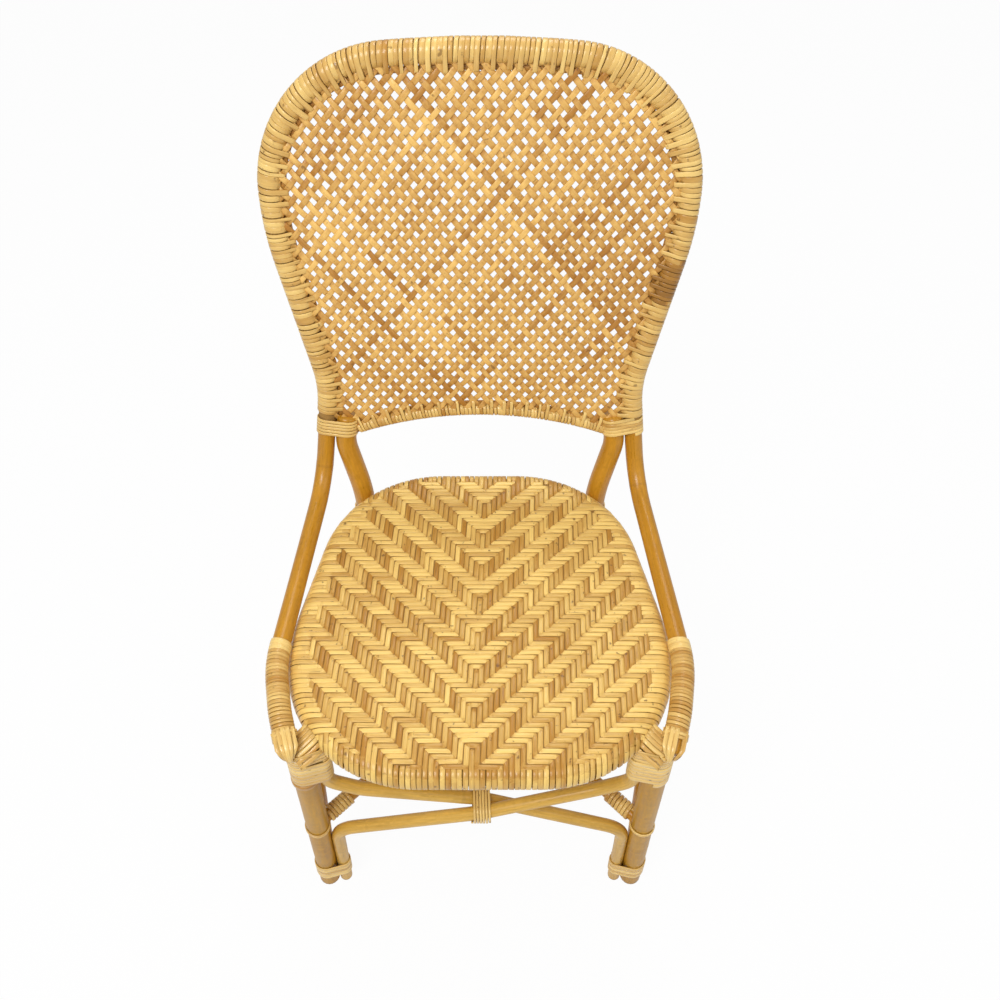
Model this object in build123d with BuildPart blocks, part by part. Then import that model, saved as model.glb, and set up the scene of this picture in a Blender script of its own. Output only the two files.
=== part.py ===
"""Rattan dining chair with a caned balloon back, a herringbone seat and bound joints.

Millimetres and degrees. The front of the chair faces -Y, +X is the right side as seen
from the front, +Z is up, and the floor is z = 0. The origin is under the middle of the
bounding box.
"""

import os
from math import atan2, cos, pi, radians, sin, tan

from build123d import *

os.makedirs("parts", exist_ok=True)

# Fits between pieces
fit_gap = 0.3
cut_overrun = 5
pole_side_count = 12

# Seat
seat_height = 450
seat_width = 442
seat_depth = 426
seat_back_width = 340
seat_widest_forward = 25
seat_back_corner_radius = 150
seat_front_corner_radius = 155
seat_side_bend_radius = 280
seat_edge_radius = 17
seat_least_straight = 2
weave_thickness = 3
slat_count = 3
slat_width = 26
slat_thickness = 8
slat_margin = 118

# Legs
front_leg_radius = 14.5
rear_leg_radius = 13
front_leg_bearing = 39
rear_leg_bearing = 51
front_foot_half_spacing = 216
front_foot_forward = 168
rear_foot_half_spacing = 172
rear_foot_back = 205
rear_knee_bend = 130
rear_corner_bend = 60
rear_leg_corner_drop = 12
front_leg_bite = 8

# Back
recline = 17
hoop_height = 538
hoop_shoulder_height = 522
hoop_width = 456
hoop_crown_radius = 1100
hoop_shoulder_radius = 140
hoop_side_bend_height = 352
hoop_side_bend_radius = 330
hoop_waist_width = 370
hoop_waist_height = 160
hoop_waist_radius = 150
hoop_pole_radius = 11
hoop_wrap_thickness = 1.7
back_corner_height = 93
corner_binding_height = 27
bottom_rail_radius = 6.3
bottom_rail_wrap_thickness = 1.6
bottom_rail_height = 126
bottom_rail_rise = 29
cane_angle = 49
cane_pitch = 11.9
cane_strand_width = 7.2
cane_strand_thickness = 1.3
cane_forward = 3
cane_shortest_strand = 11

# Side rails beside the seat, which end in capped knobs over the front legs
side_rail_rise = 2
side_rail_flare = 18.5
side_rail_beside_seat = 10
side_rail_widest_share = 0.46
side_rail_back_bend_radius = 62
side_rail_side_bend_radius = 160
side_rail_front_bend_radius = 80
shoulder_beside_leg = 21
shoulder_behind_leg = 30
knob_beside_leg = 8
knob_before_leg = 12
knob_drop = 12
knob_wrap_thickness = 1.6
side_wrap_start_share = 0.875
knob_cap_length = 9
knob_cap_taper = 34

# Crossing poles on the front and the rear, with heights measured down from the seat ring
brace_radius = 8.5
brace_bend_drop = 251
brace_bend_radius = 40
brace_cross_drop = 171
brace_cross_radius = 150
brace_shoulder_drop = 117
brace_shoulder_radius = 80
brace_joint_drop = 93
brace_joint_radius = 25
brace_end_cover = 3
brace_shoulder_share = 0.7
brace_cross_gap = 0.7
cross_binding_width = 22
cross_binding_thickness = 2

# Side arches under the seat
arch_top_drop = 29
arch_front_run_height = 100
arch_lean_back = 34
arch_top_radius = 95
arch_ease_radius = 300
arch_rear_bearing = 14

# Diagonal stretchers below the seat
stretcher_radius = 8
stretcher_drop = 233
stretcher_bow_radius = 900
stretcher_cross_gap = 0.6
stretcher_wrap_length = 32
stretcher_wrap_thickness = 2

# Peel bindings on the legs
foot_binding_bottom = 30
foot_binding_height = 46
leg_binding_drop = 28
leg_binding_height = 50
binding_thickness = 2

# The side of the chair that each name stands for
sides = {"left": -1, "right": 1}


# Worked-out places in the seat's own frame, whose origin is under the middle of the seat
ring_height = seat_height - seat_edge_radius
side_rail_height = seat_height + side_rail_rise
knob_height = side_rail_height - knob_drop
brace_bend_height = ring_height - brace_bend_drop
brace_cross_height = ring_height - brace_cross_drop
brace_shoulder_height = ring_height - brace_shoulder_drop
brace_joint_height = ring_height - brace_joint_drop
arch_top_height = ring_height - arch_top_drop
stretcher_height = ring_height - stretcher_drop
leg_binding_top = ring_height - leg_binding_drop
leg_binding_bottom = leg_binding_top - leg_binding_height
ring_pole_radius = seat_edge_radius - weave_thickness - fit_gap
flat_share = cos(pi / pole_side_count)
hoop_wrap_radius = hoop_pole_radius + fit_gap + hoop_wrap_thickness
knob_wrap_radius = hoop_pole_radius + fit_gap + knob_wrap_thickness


widest_x = seat_width / 2
back_corner = (seat_back_width / 2, seat_depth / 2)
side_corner = (widest_x, -seat_widest_forward)
front_corner = (widest_x, -seat_depth / 2)

# The seat's corners are as round as their sides have room for
side_turn = atan2(widest_x - back_corner[0], back_corner[1] + seat_widest_forward)
side_setback = seat_side_bend_radius * tan(side_turn / 2) + seat_least_straight
back_corner_slope = tan((radians(90) - side_turn) / 2)
back_side_run = (back_corner[1] + seat_widest_forward) / cos(side_turn)
back_corner_room = min(back_side_run - side_setback, back_corner[0] - seat_least_straight) / back_corner_slope
front_side_run = seat_depth / 2 - seat_widest_forward
front_corner_room = min(front_side_run - side_setback, widest_x - seat_least_straight)
back_corner_radius = min(seat_back_corner_radius, back_corner_room)
front_corner_radius = min(seat_front_corner_radius, front_corner_room)
back_setback = back_corner_radius * back_corner_slope
back_arc_centre = (back_corner[0] - back_setback, back_corner[1] - back_corner_radius)
front_arc_centre = (widest_x - front_corner_radius, front_corner_radius - seat_depth / 2)


def beside_ring(arc_centre, arc_radius, bearing, reach):
    """Point at a bearing from a seat corner's centre, just outside the seat's edge."""
    distance = arc_radius + reach + fit_gap
    return (
        arc_centre[0] + distance * cos(radians(bearing)),
        arc_centre[1] + distance * sin(radians(bearing)),
    )


rear_leg_reach = rear_leg_radius / cos(radians(recline))
front_top_x, front_top_y = beside_ring(
    front_arc_centre, front_corner_radius, -front_leg_bearing, front_leg_radius
)
rear_knee_x, rear_knee_y = beside_ring(
    back_arc_centre, back_corner_radius, rear_leg_bearing, rear_leg_reach
)

# The bounding box runs from the seat's front edge to the back of the hoop's crown
hoop_crown_drop = hoop_crown_radius * (
    1 / cos(atan2(hoop_height - hoop_shoulder_height, hoop_width / 2)) - 1
)
crown_top = hoop_height - hoop_crown_drop
rear_reach = rear_knee_y + crown_top * sin(radians(recline)) + hoop_wrap_radius
seat_y = (seat_depth / 2 - rear_reach) / 2

back_plane = Plane(
    origin=(0, seat_y + rear_knee_y, ring_height),
    x_dir=(1, 0, 0),
    z_dir=(0, -cos(radians(recline)), sin(radians(recline))),
)


def on_floor_frame(side, x, y, z):
    """Point of the seat's frame, on one side of the chair, in the chair's frame."""
    return Vector(side * x, seat_y + y, z)


def front_leg_at(side, z):
    """Centre of a front leg at a height above the floor."""
    top = on_floor_frame(side, front_top_x, front_top_y, ring_height)
    foot = on_floor_frame(side, front_foot_half_spacing, -front_foot_forward, 0)
    return foot + (top - foot) * (z / ring_height)


def rear_leg_at(side, z):
    """Centre of a rear leg's lower run at a height above the floor."""
    knee = on_floor_frame(side, rear_knee_x, rear_knee_y, ring_height)
    foot = on_floor_frame(side, rear_foot_half_spacing, rear_foot_back, 0)
    return foot + (knee - foot) * (z / ring_height)


def on_back(u, v):
    """Point of the back's plane, u across and v up the slope from the seat ring."""
    return back_plane.from_local_coords(Vector(u, v, 0))


def seat_outline(inset):
    """Closed outline of the seat, inset from its outer edge."""
    corners = [back_corner, side_corner, front_corner]
    points = [(x, y) for x, y in corners] + [(-x, y) for x, y in reversed(corners)]
    radii = [back_corner_radius, seat_side_bend_radius, front_corner_radius]
    with BuildSketch(Plane((0, seat_y, 0)), mode=Mode.PRIVATE) as outline:
        with BuildLine():
            FilletPolyline(*points, radius=radii + radii[::-1], close=True)
        make_face()
        offset(amount=-inset, kind=Kind.ARC, mode=Mode.REPLACE)
    return outline.sketch


def save(name, builder):
    """Label a finished piece and write it under its own name."""
    builder.part.label = name
    export_step(builder.part, f"parts/{name}.step")


def clear_of(radius):
    """Corner radius of a many-sided bore whose flat sides clear a round pole."""
    return (radius + fit_gap) / flat_share


def bent_pole(points, bends, radius, bore_radius=0):
    """A many-sided pole, or a sleeve over one, on straight runs joined by tangent arcs."""
    with BuildPart() as pole:
        with BuildLine() as route:
            if bends:
                FilletPolyline(*points, radius=bends)
            else:
                Line(*points)
        with BuildSketch(Plane(origin=route.line @ 0, z_dir=route.line % 0)):
            RegularPolygon(radius, pole_side_count)
            if bore_radius:
                RegularPolygon(bore_radius, pole_side_count, mode=Mode.SUBTRACT)
        sweep(path=route.line)
    return pole


# Seat ring, support slats and the woven seat that rolls over the ring
ring_route = seat_outline(seat_edge_radius).wires()[0].moved(Location((0, 0, ring_height)))
with BuildPart() as seat_ring:
    with BuildSketch(Plane(origin=ring_route @ 0, z_dir=ring_route % 0)):
        RegularPolygon(ring_pole_radius, pole_side_count)
    sweep(path=ring_route)

slat_spacing = (seat_depth - 2 * slat_margin) / (slat_count - 1)
with BuildPart() as seat_slats:
    with BuildSketch(Plane((0, seat_y, seat_height - weave_thickness))):
        with GridLocations(1, slat_spacing, 1, slat_count):
            Rectangle(seat_width, slat_width)
    extrude(amount=-slat_thickness)
    with BuildSketch(Plane.XY.offset(seat_height)):
        add(seat_outline(seat_edge_radius + ring_pole_radius + fit_gap))
    extrude(amount=-2 * seat_edge_radius, mode=Mode.INTERSECT)

with BuildPart() as seat_weave:
    start = ring_route @ 0
    along = ring_route % 0
    outward = along.cross(Vector(0, 0, 1))
    if outward.dot(start - Vector(0, seat_y, ring_height)) < 0:
        outward = -outward
    with BuildSketch(Plane(origin=start, x_dir=outward, z_dir=along)) as roll:
        RegularPolygon(seat_edge_radius, pole_side_count)
        RegularPolygon(seat_edge_radius - weave_thickness, pole_side_count, mode=Mode.SUBTRACT)
        with Locations((-seat_edge_radius, 0)):
            Rectangle(2 * seat_edge_radius, 2 * seat_edge_radius, mode=Mode.SUBTRACT)
    sweep(path=ring_route)
    with BuildSketch(Plane.XY.offset(seat_height - weave_thickness)):
        add(seat_outline(seat_edge_radius))
    extrude(amount=weave_thickness)


# Routes in the back's plane
hoop_waist = (hoop_waist_width / 2, hoop_waist_height)
rail_corner_slope = (side_rail_height - ring_height) / cos(radians(recline))
rail_corner = (hoop_waist[0] + side_rail_flare, rail_corner_slope)
binding_top = back_corner_height + corner_binding_height
hoop_joint_height = back_corner_height + corner_binding_height / 2
corner_spacing = hoop_pole_radius + rear_leg_radius + 2 * fit_gap


hoop_foot_lean = atan2(rail_corner[0] - hoop_waist[0], hoop_waist[1] - rail_corner[1])


def hoop_foot(v, inward=0):
    """Point on the straight line that the hoop shares with the side rail, or square to it."""
    u = hoop_waist[0] + (hoop_waist[1] - v) * tan(hoop_foot_lean)
    return u - inward * cos(hoop_foot_lean), v - inward * sin(hoop_foot_lean)


def hoop_points(foot_height):
    """Corners of the hoop's route, from the left foot over the crown to the right foot."""
    right = [
        (hoop_width / 2, hoop_shoulder_height),
        (hoop_width / 2, hoop_side_bend_height),
        hoop_waist,
        hoop_foot(foot_height),
    ]
    return [(-u, v) for u, v in reversed(right)] + [(0, hoop_height)] + right


hoop_side_bends = [hoop_waist_radius, hoop_side_bend_radius, hoop_shoulder_radius]
hoop_bends = hoop_side_bends + [hoop_crown_radius] + hoop_side_bends[::-1]
back_hoop = bent_pole([on_back(*p) for p in hoop_points(hoop_joint_height)], hoop_bends, hoop_pole_radius)
back_hoop_wrap = bent_pole(
    [on_back(*p) for p in hoop_points(binding_top + fit_gap)],
    hoop_bends,
    hoop_wrap_radius,
    clear_of(hoop_pole_radius),
)


def rear_leg_points(side, overrun):
    """Corners of a rear leg's route, from under the floor up into the back's corner."""
    corner = hoop_foot(back_corner_height - rear_leg_corner_drop, corner_spacing)
    top = hoop_foot(binding_top, corner_spacing)
    knee = on_floor_frame(side, rear_knee_x, rear_knee_y, ring_height)
    return [
        rear_leg_at(side, -overrun),
        knee,
        on_back(side * corner[0], corner[1]),
        on_back(side * top[0], top[1]),
    ]


def front_leg(side, radius):
    """A straight leg from the floor to the side rail that ends over it."""
    top_height = knob_height - knob_wrap_radius + front_leg_bite
    leg = bent_pole([front_leg_at(side, -cut_overrun), front_leg_at(side, top_height)], None, radius)
    with leg:
        split(bisect_by=Plane.XY, keep=Keep.TOP)
    return leg


def rear_leg(side, radius):
    """A leg with a knee at the seat ring and a raked run up into the back."""
    leg = bent_pole(rear_leg_points(side, cut_overrun), [rear_knee_bend, rear_corner_bend], radius)
    with leg:
        split(bisect_by=Plane.XY, keep=Keep.TOP)
    return leg


def crossing_pole(leg_at, side, leg_radius):
    """A pole that stands inside one leg, crosses over and is bound to the top of the other."""
    inward = Vector(-side * (leg_radius + brace_radius + fit_gap), 0, 0)
    stagger = Vector(0, side * (brace_radius + brace_cross_gap), 0)
    centre = (leg_at(side, brace_cross_height) + leg_at(-side, brace_cross_height)) / 2
    shoulder = centre + (leg_at(-side, brace_shoulder_height) - centre) * brace_shoulder_share
    points = [
        leg_at(side, -cut_overrun) + inward,
        leg_at(side, brace_bend_height) + inward,
        centre + stagger,
        Vector(shoulder.X, shoulder.Y, brace_shoulder_height),
        leg_at(-side, brace_joint_height) - inward,
        leg_at(-side, leg_binding_top - brace_end_cover) - inward,
    ]
    bends = [brace_bend_radius, brace_cross_radius, brace_shoulder_radius, brace_joint_radius]
    pole = bent_pole(points, bends, brace_radius)
    with pole:
        split(bisect_by=Plane.XY, keep=Keep.TOP)
    return pole


def side_arch(side):
    """A bent pole from beside a front leg, up under the seat, to beside a rear leg."""
    behind = Vector(0, front_leg_radius + brace_radius + fit_gap, 0)
    before = Vector(0, -rear_leg_radius - brace_radius - fit_gap, 0).rotate(Axis.Z, side * arch_rear_bearing)
    points = [
        front_leg_at(side, -cut_overrun) + behind,
        front_leg_at(side, arch_front_run_height) + behind,
        front_leg_at(side, arch_top_height) + behind + Vector(0, arch_lean_back, 0),
        rear_leg_at(side, arch_top_height) + before,
        rear_leg_at(side, -cut_overrun) + before,
    ]
    arch = bent_pole(points, [arch_ease_radius, arch_top_radius, arch_top_radius], brace_radius)
    with arch:
        split(bisect_by=Plane.XY, keep=Keep.TOP)
    return arch


def stretcher_route(side, bow):
    """Front end, bowed middle and rear end of a diagonal stretcher's centre line."""
    front = front_leg_at(side, stretcher_height)
    rear = rear_leg_at(-side, stretcher_height)
    share = front.X / (front.X - rear.X)
    return [front, front + (rear - front) * share + Vector(0, 0, bow), rear]


def binding_ring(plane, circles, thickness, height):
    """A band of peel pulled tight round the poles that pass through a plane."""
    with BuildPart() as band:
        with BuildSketch(plane):
            for centre, radius in circles:
                with Locations(centre):
                    RegularPolygon(radius + fit_gap + thickness, pole_side_count)
            make_hull()
            with BuildSketch(plane, mode=Mode.PRIVATE) as bore:
                for centre, radius in circles:
                    with Locations(centre):
                        RegularPolygon(clear_of(radius), pole_side_count)
                make_hull()
            add(bore.sketch_local, mode=Mode.SUBTRACT)
        extrude(amount=height)
    return band


def foot_binding(leg_at, side, leg_radius, arch_offset):
    """The band round a foot, the crossing pole inside it and the side arch beside it."""
    up = leg_at(side, ring_height) - leg_at(side, 0)
    brace_offset = -side * (leg_radius + brace_radius + fit_gap)
    return binding_ring(
        Plane(origin=leg_at(side, foot_binding_bottom), x_dir=(1, 0, 0), z_dir=up),
        [
            ((0, 0), leg_radius),
            ((brace_offset, 0), brace_radius),
            ((arch_offset.X, arch_offset.Y), brace_radius),
        ],
        binding_thickness,
        foot_binding_height,
    )


def leg_binding(leg_at, side, leg_radius):
    """The band near the top of a leg, round the end of a crossing pole as well."""
    up = leg_at(side, ring_height) - leg_at(side, 0)
    brace_offset = -side * (leg_radius + brace_radius + fit_gap)
    return binding_ring(
        Plane(origin=leg_at(side, leg_binding_bottom), x_dir=(1, 0, 0), z_dir=up),
        [((0, 0), leg_radius), ((brace_offset, 0), brace_radius)],
        binding_thickness,
        leg_binding_height,
    )


def cross_binding(leg_at, leg_radius):
    """The band that ties a pair of crossing poles together in the middle."""
    centre = (leg_at(1, brace_cross_height) + leg_at(-1, brace_cross_height)) / 2
    run = leg_at(1, brace_bend_height).X - leg_radius - brace_radius - fit_gap
    slope = (brace_cross_height - brace_bend_height) / run
    drop = slope * cross_binding_width / 2
    reach = brace_radius + brace_cross_gap
    circles = [((y, z), brace_radius / cos(atan2(slope, 1))) for y in (-reach, reach) for z in (-drop, drop)]
    plane = Plane(origin=centre - Vector(cross_binding_width / 2, 0, 0), x_dir=(0, 1, 0), z_dir=(1, 0, 0))
    return binding_ring(plane, circles, cross_binding_thickness, cross_binding_width)


shoulder_x = front_top_x + shoulder_beside_leg
shoulder_y = front_top_y + shoulder_behind_leg
rail_widest_y = side_corner[1] + (shoulder_y - side_corner[1]) * side_rail_widest_share


def side_rail_end(side):
    """The last bend of a side rail and the knob that it ends in, over the front leg."""
    return (
        on_floor_frame(side, shoulder_x, shoulder_y, side_rail_height),
        on_floor_frame(side, front_top_x + knob_beside_leg, front_top_y - knob_before_leg, knob_height),
    )


# Bottom rail of the back, an arch between the rear legs, and its wrap
rail_end = hoop_foot(bottom_rail_height - bottom_rail_rise, corner_spacing)
rail_cope_radius = clear_of(rear_leg_radius + fit_gap + binding_thickness)


def rail_arch(radius, bore_radius=0):
    """The arched bottom rail, or its wrap, with ends cut to sit against the corners."""
    with BuildPart() as rail:
        with BuildLine() as route:
            ThreePointArc(
                on_back(-rail_end[0], rail_end[1]),
                on_back(0, bottom_rail_height),
                on_back(rail_end[0], rail_end[1]),
            )
        with BuildSketch(Plane(origin=route.line @ 0, z_dir=route.line % 0)):
            RegularPolygon(radius, pole_side_count)
            if bore_radius:
                RegularPolygon(bore_radius, pole_side_count, mode=Mode.SUBTRACT)
        sweep(path=route.line)
        for side in sides.values():
            add(rear_leg(side, rail_cope_radius).part, mode=Mode.SUBTRACT)
    return rail


rail_wrap_radius = bottom_rail_radius + fit_gap + bottom_rail_wrap_thickness
back_bottom_rail = rail_arch(bottom_rail_radius)
back_bottom_rail_wrap = rail_arch(rail_wrap_radius, clear_of(bottom_rail_radius))

# Cane panel: two layers of flat strands that cross, trimmed to the opening of the back
panel_margin = hoop_wrap_radius + fit_gap
with BuildSketch() as back_opening:
    with BuildLine():
        route = FilletPolyline(*hoop_points(rail_end[1]), radius=hoop_bends)
        Line(route @ 1, route @ 0)
    make_face()
    offset(amount=-panel_margin, kind=Kind.ARC, mode=Mode.REPLACE)
    with BuildSketch(mode=Mode.PRIVATE) as under_rail:
        with BuildLine():
            arch = ThreePointArc(
                (-rail_end[0], rail_end[1]), (0, bottom_rail_height), (rail_end[0], rail_end[1])
            )
            Polyline(arch @ 1, (rail_end[0], 0), (-rail_end[0], 0), arch @ 0)
        make_face()
        offset(amount=rail_wrap_radius + fit_gap, kind=Kind.ARC, mode=Mode.REPLACE)
    add(under_rail.sketch, mode=Mode.SUBTRACT)
    leg_top = hoop_foot(binding_top, corner_spacing)
    for side in sides.values():
        with Locations((side * leg_top[0], 0)):
            Rectangle(
                2 * rail_cope_radius + 2 * fit_gap,
                2 * (binding_top + fit_gap),
                mode=Mode.SUBTRACT,
            )

cane_reach = hoop_height + hoop_width
cane_count = 2 * int(cane_reach / cane_pitch / 2) + 1


def cane_layer(angle, level):
    """One layer of parallel cane strands across the opening of the back."""
    with BuildPart() as layer:
        with BuildSketch(back_plane.offset(cane_forward + level * cane_strand_thickness)):
            with BuildSketch(mode=Mode.PRIVATE) as strands:
                with BuildSketch(mode=Mode.PRIVATE) as stripes:
                    with GridLocations(cane_pitch, 1, cane_count, 1):
                        Rectangle(cane_strand_width, 2 * cane_reach)
                add(stripes.sketch, rotation=angle)
                add(back_opening.sketch, mode=Mode.INTERSECT)
            least_area = cane_shortest_strand * cane_strand_width
            add(strands.faces().filter_by(lambda strand: strand.area > least_area))
        extrude(amount=cane_strand_thickness)
    return layer


cane_strands_rising = cane_layer(cane_angle - 90, 0)
cane_strands_falling = cane_layer(90 - cane_angle, 1)

save("seat_ring", seat_ring)
save("seat_slats", seat_slats)
save("seat_weave", seat_weave)
save("back_hoop", back_hoop)
save("back_hoop_wrap", back_hoop_wrap)
save("back_bottom_rail", back_bottom_rail)
save("back_bottom_rail_wrap", back_bottom_rail_wrap)
save("cane_strands_rising", cane_strands_rising)
save("cane_strands_falling", cane_strands_falling)

for name, side in sides.items():
    front = front_leg(side, front_leg_radius)
    rear = rear_leg(side, rear_leg_radius)

    # Side rail from the back's corner round the seat to the knob over the front leg
    bend = on_back(side * rail_corner[0], rail_corner[1])
    widest = on_floor_frame(side, widest_x + side_rail_beside_seat, rail_widest_y, side_rail_height)
    shoulder, knob = side_rail_end(side)
    joint = hoop_foot(hoop_joint_height)
    front_bends = [side_rail_side_bend_radius, side_rail_front_bend_radius]
    side_rail = bent_pole(
        [on_back(side * joint[0], joint[1]), bend, widest, shoulder, knob],
        [side_rail_back_bend_radius] + front_bends,
        hoop_pole_radius,
    )
    wrap_start = bend + (widest - bend) * side_wrap_start_share
    wrap = bent_pole(
        [wrap_start, widest, shoulder, knob], front_bends, knob_wrap_radius, clear_of(hoop_pole_radius)
    )
    past_cap = knob + (knob - shoulder).normalized() * (knob_cap_length + fit_gap)
    rail_seat = bent_pole([wrap_start, widest, shoulder, past_cap], front_bends, clear_of(knob_wrap_radius))
    with front:
        add(rail_seat.part, mode=Mode.SUBTRACT)
    save(f"front_leg_{name}", front)
    save(f"rear_leg_{name}", rear)
    save(f"side_rail_{name}", side_rail)
    save(f"side_rail_wrap_{name}", wrap)

    # Crossing poles and side arch
    save(f"front_crossing_pole_{name}", crossing_pole(front_leg_at, side, front_leg_radius))
    save(f"rear_crossing_pole_{name}", crossing_pole(rear_leg_at, side, rear_leg_radius))
    arch = side_arch(side)
    save(f"side_arch_{name}", arch)

    # Diagonal stretcher from this side's front leg to the other side's rear leg
    bow = side * (stretcher_radius + stretcher_cross_gap)
    stretcher = bent_pole(stretcher_route(side, bow), [stretcher_bow_radius], stretcher_radius)
    with stretcher:
        add(front_leg(side, clear_of(front_leg_radius)).part, mode=Mode.SUBTRACT)
        add(rear_leg(-side, clear_of(rear_leg_radius)).part, mode=Mode.SUBTRACT)
    save(f"diagonal_stretcher_{name}", stretcher)

# Bands of peel round each foot, with the crossing pole and the side arch that stand beside it
with BuildPart() as front_foot_bindings:
    for side in sides.values():
        arch_offset = Vector(0, front_leg_radius + brace_radius + fit_gap, 0)
        add(foot_binding(front_leg_at, side, front_leg_radius, arch_offset).part)
save("front_foot_bindings", front_foot_bindings)

with BuildPart() as rear_foot_bindings:
    for side in sides.values():
        arch_offset = Vector(0, -rear_leg_radius - brace_radius - fit_gap, 0)
        arch_offset = arch_offset.rotate(Axis.Z, side * arch_rear_bearing)
        add(foot_binding(rear_leg_at, side, rear_leg_radius, arch_offset).part)
save("rear_foot_bindings", rear_foot_bindings)

# Bands near the tops of the legs
with BuildPart() as front_leg_bindings:
    for side in sides.values():
        add(leg_binding(front_leg_at, side, front_leg_radius).part)
save("front_leg_bindings", front_leg_bindings)

with BuildPart() as rear_leg_bindings:
    for side in sides.values():
        add(leg_binding(rear_leg_at, side, rear_leg_radius).part)
save("rear_leg_bindings", rear_leg_bindings)

# Bindings that hold the hoop, the side rail and the rear leg together
with BuildPart() as back_corner_bindings:
    for side in sides.values():
        corner_low = hoop_foot(back_corner_height)
        corner_high = hoop_foot(binding_top)
        leg_low = hoop_foot(back_corner_height, corner_spacing)
        corner_start = on_back(side * corner_low[0], corner_low[1])
        corner_up = on_back(side * corner_high[0], corner_high[1]) - corner_start
        toward_leg = on_back(side * leg_low[0], leg_low[1]) - corner_start
        corner_binding = binding_ring(
            Plane(origin=corner_start, x_dir=toward_leg, z_dir=corner_up),
            [((0, 0), hoop_pole_radius), ((corner_spacing, 0), rear_leg_radius)],
            binding_thickness,
            corner_up.length,
        )
        add(corner_binding.part)
save("back_corner_bindings", back_corner_bindings)

with BuildPart() as crossing_pole_bindings:
    add(cross_binding(front_leg_at, front_leg_radius).part)
    add(cross_binding(rear_leg_at, rear_leg_radius).part)
save("crossing_pole_bindings", crossing_pole_bindings)

# Peel wraps on both ends of each diagonal stretcher
with BuildPart() as stretcher_wraps:
    for side in sides.values():
        front_end, middle, rear_end = stretcher_route(side, side * (stretcher_radius + stretcher_cross_gap))
        for end, leg_radius in ((front_end, front_leg_radius), (rear_end, rear_leg_radius)):
            along = (middle - end).normalized()
            start = end + along * (leg_radius + binding_thickness)
            sleeve = bent_pole(
                [start, start + along * stretcher_wrap_length],
                None,
                stretcher_radius + fit_gap + stretcher_wrap_thickness,
                clear_of(stretcher_radius),
            )
            add(sleeve.part)
save("stretcher_wraps", stretcher_wraps)

# Caps of woven peel over the ends of the side rails
with BuildPart() as side_rail_caps:
    for side in sides.values():
        shoulder, knob = side_rail_end(side)
        with BuildSketch(Plane(origin=knob, z_dir=knob - shoulder)):
            RegularPolygon(knob_wrap_radius, pole_side_count)
        extrude(amount=knob_cap_length, taper=knob_cap_taper)
save("side_rail_caps", side_rail_caps)
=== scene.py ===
"""Looks of a rattan dining chair: wound peel, open cane back, herringbone seat and bound poles.

Sizes are in millimetres in the classes and become metres when a mesh is finished. The front
of the chair faces -Y, +X is its right side as seen from the front, and the floor is z = 0.
"""

from __future__ import annotations

import logging
import math
import random
from dataclasses import dataclass, field
from enum import Enum, IntEnum
from typing import Callable, Iterable, NamedTuple, Sequence

import bmesh
import bpy
from mathutils import Matrix, Vector

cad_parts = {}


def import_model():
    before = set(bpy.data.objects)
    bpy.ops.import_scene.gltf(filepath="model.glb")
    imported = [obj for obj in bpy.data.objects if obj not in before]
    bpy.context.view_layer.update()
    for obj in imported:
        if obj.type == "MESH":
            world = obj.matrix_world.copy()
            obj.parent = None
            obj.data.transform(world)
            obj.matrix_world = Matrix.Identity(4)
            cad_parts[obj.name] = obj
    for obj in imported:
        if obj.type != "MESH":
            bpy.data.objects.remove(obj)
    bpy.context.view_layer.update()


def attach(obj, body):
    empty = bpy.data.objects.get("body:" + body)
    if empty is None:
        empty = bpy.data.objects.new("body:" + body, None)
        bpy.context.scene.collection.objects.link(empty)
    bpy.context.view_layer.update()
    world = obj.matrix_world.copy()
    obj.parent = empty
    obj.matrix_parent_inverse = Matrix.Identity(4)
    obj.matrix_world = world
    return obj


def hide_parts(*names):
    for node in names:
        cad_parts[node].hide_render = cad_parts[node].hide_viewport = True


LOG = logging.getLogger("chair")
METRE = 0.001
UP = Vector((0, 0, 1))
RIGHTWARD = Vector((1, 0, 0))
FORWARD = Vector((0, -1, 0))
FAR = 1e9
LegAt = Callable[[float, float], Vector]
Circle = tuple[float, float, float]
Colour = tuple[float, float, float]


class Side(Enum):
    """A side of the chair as seen from its front, with the sign of its x."""

    LEFT = -1
    RIGHT = 1


class Seed(IntEnum):
    """Seeds of the natural unevenness, so that every run gives the same chair."""

    HOOP_POLE = 1
    BOTTOM_RAIL_POLE = 2
    SEAT_RING = 5
    HOOP_WRAP = 11
    BOTTOM_RAIL_WRAP = 12
    CANE = 21
    SEAT = 41
    SIDE_RAIL = 50
    SIDE_RAIL_WRAP = 60
    KNOB = 71
    KNOB_RING = 72
    FRONT_LEG = 80
    REAR_LEG = 90
    CROSSING_POLE = 100
    SIDE_ARCH = 110
    STRETCHER = 120
    FOOT_BINDING = 130
    LEG_BINDING = 140
    BACK_CORNER = 150
    CROSSING_BINDING = 160
    STRETCHER_WRAP = 170
    LEG_TOP_TIE = 180
    STRETCHER_TIE = 184
    LEG_RING = 188


class Shape(Enum):
    """Cross-sections of what the chair is made of, as shares of a width and a height."""

    PEEL = ((-0.5, 0.0), (-0.47, 0.72), (-0.34, 1.0), (0.34, 1.0), (0.47, 0.72), (0.5, 0.0))
    POLE = tuple(
        (0.5 * math.cos(math.tau * step / 20), 0.5 * math.sin(math.tau * step / 20)) for step in range(20)
    )


class Station(NamedTuple):
    """One place along a strip or pole, with the directions and size of its section there."""

    place: Vector
    side: Vector
    out: Vector
    run: float
    width: float
    height: float
    tone: float


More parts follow.
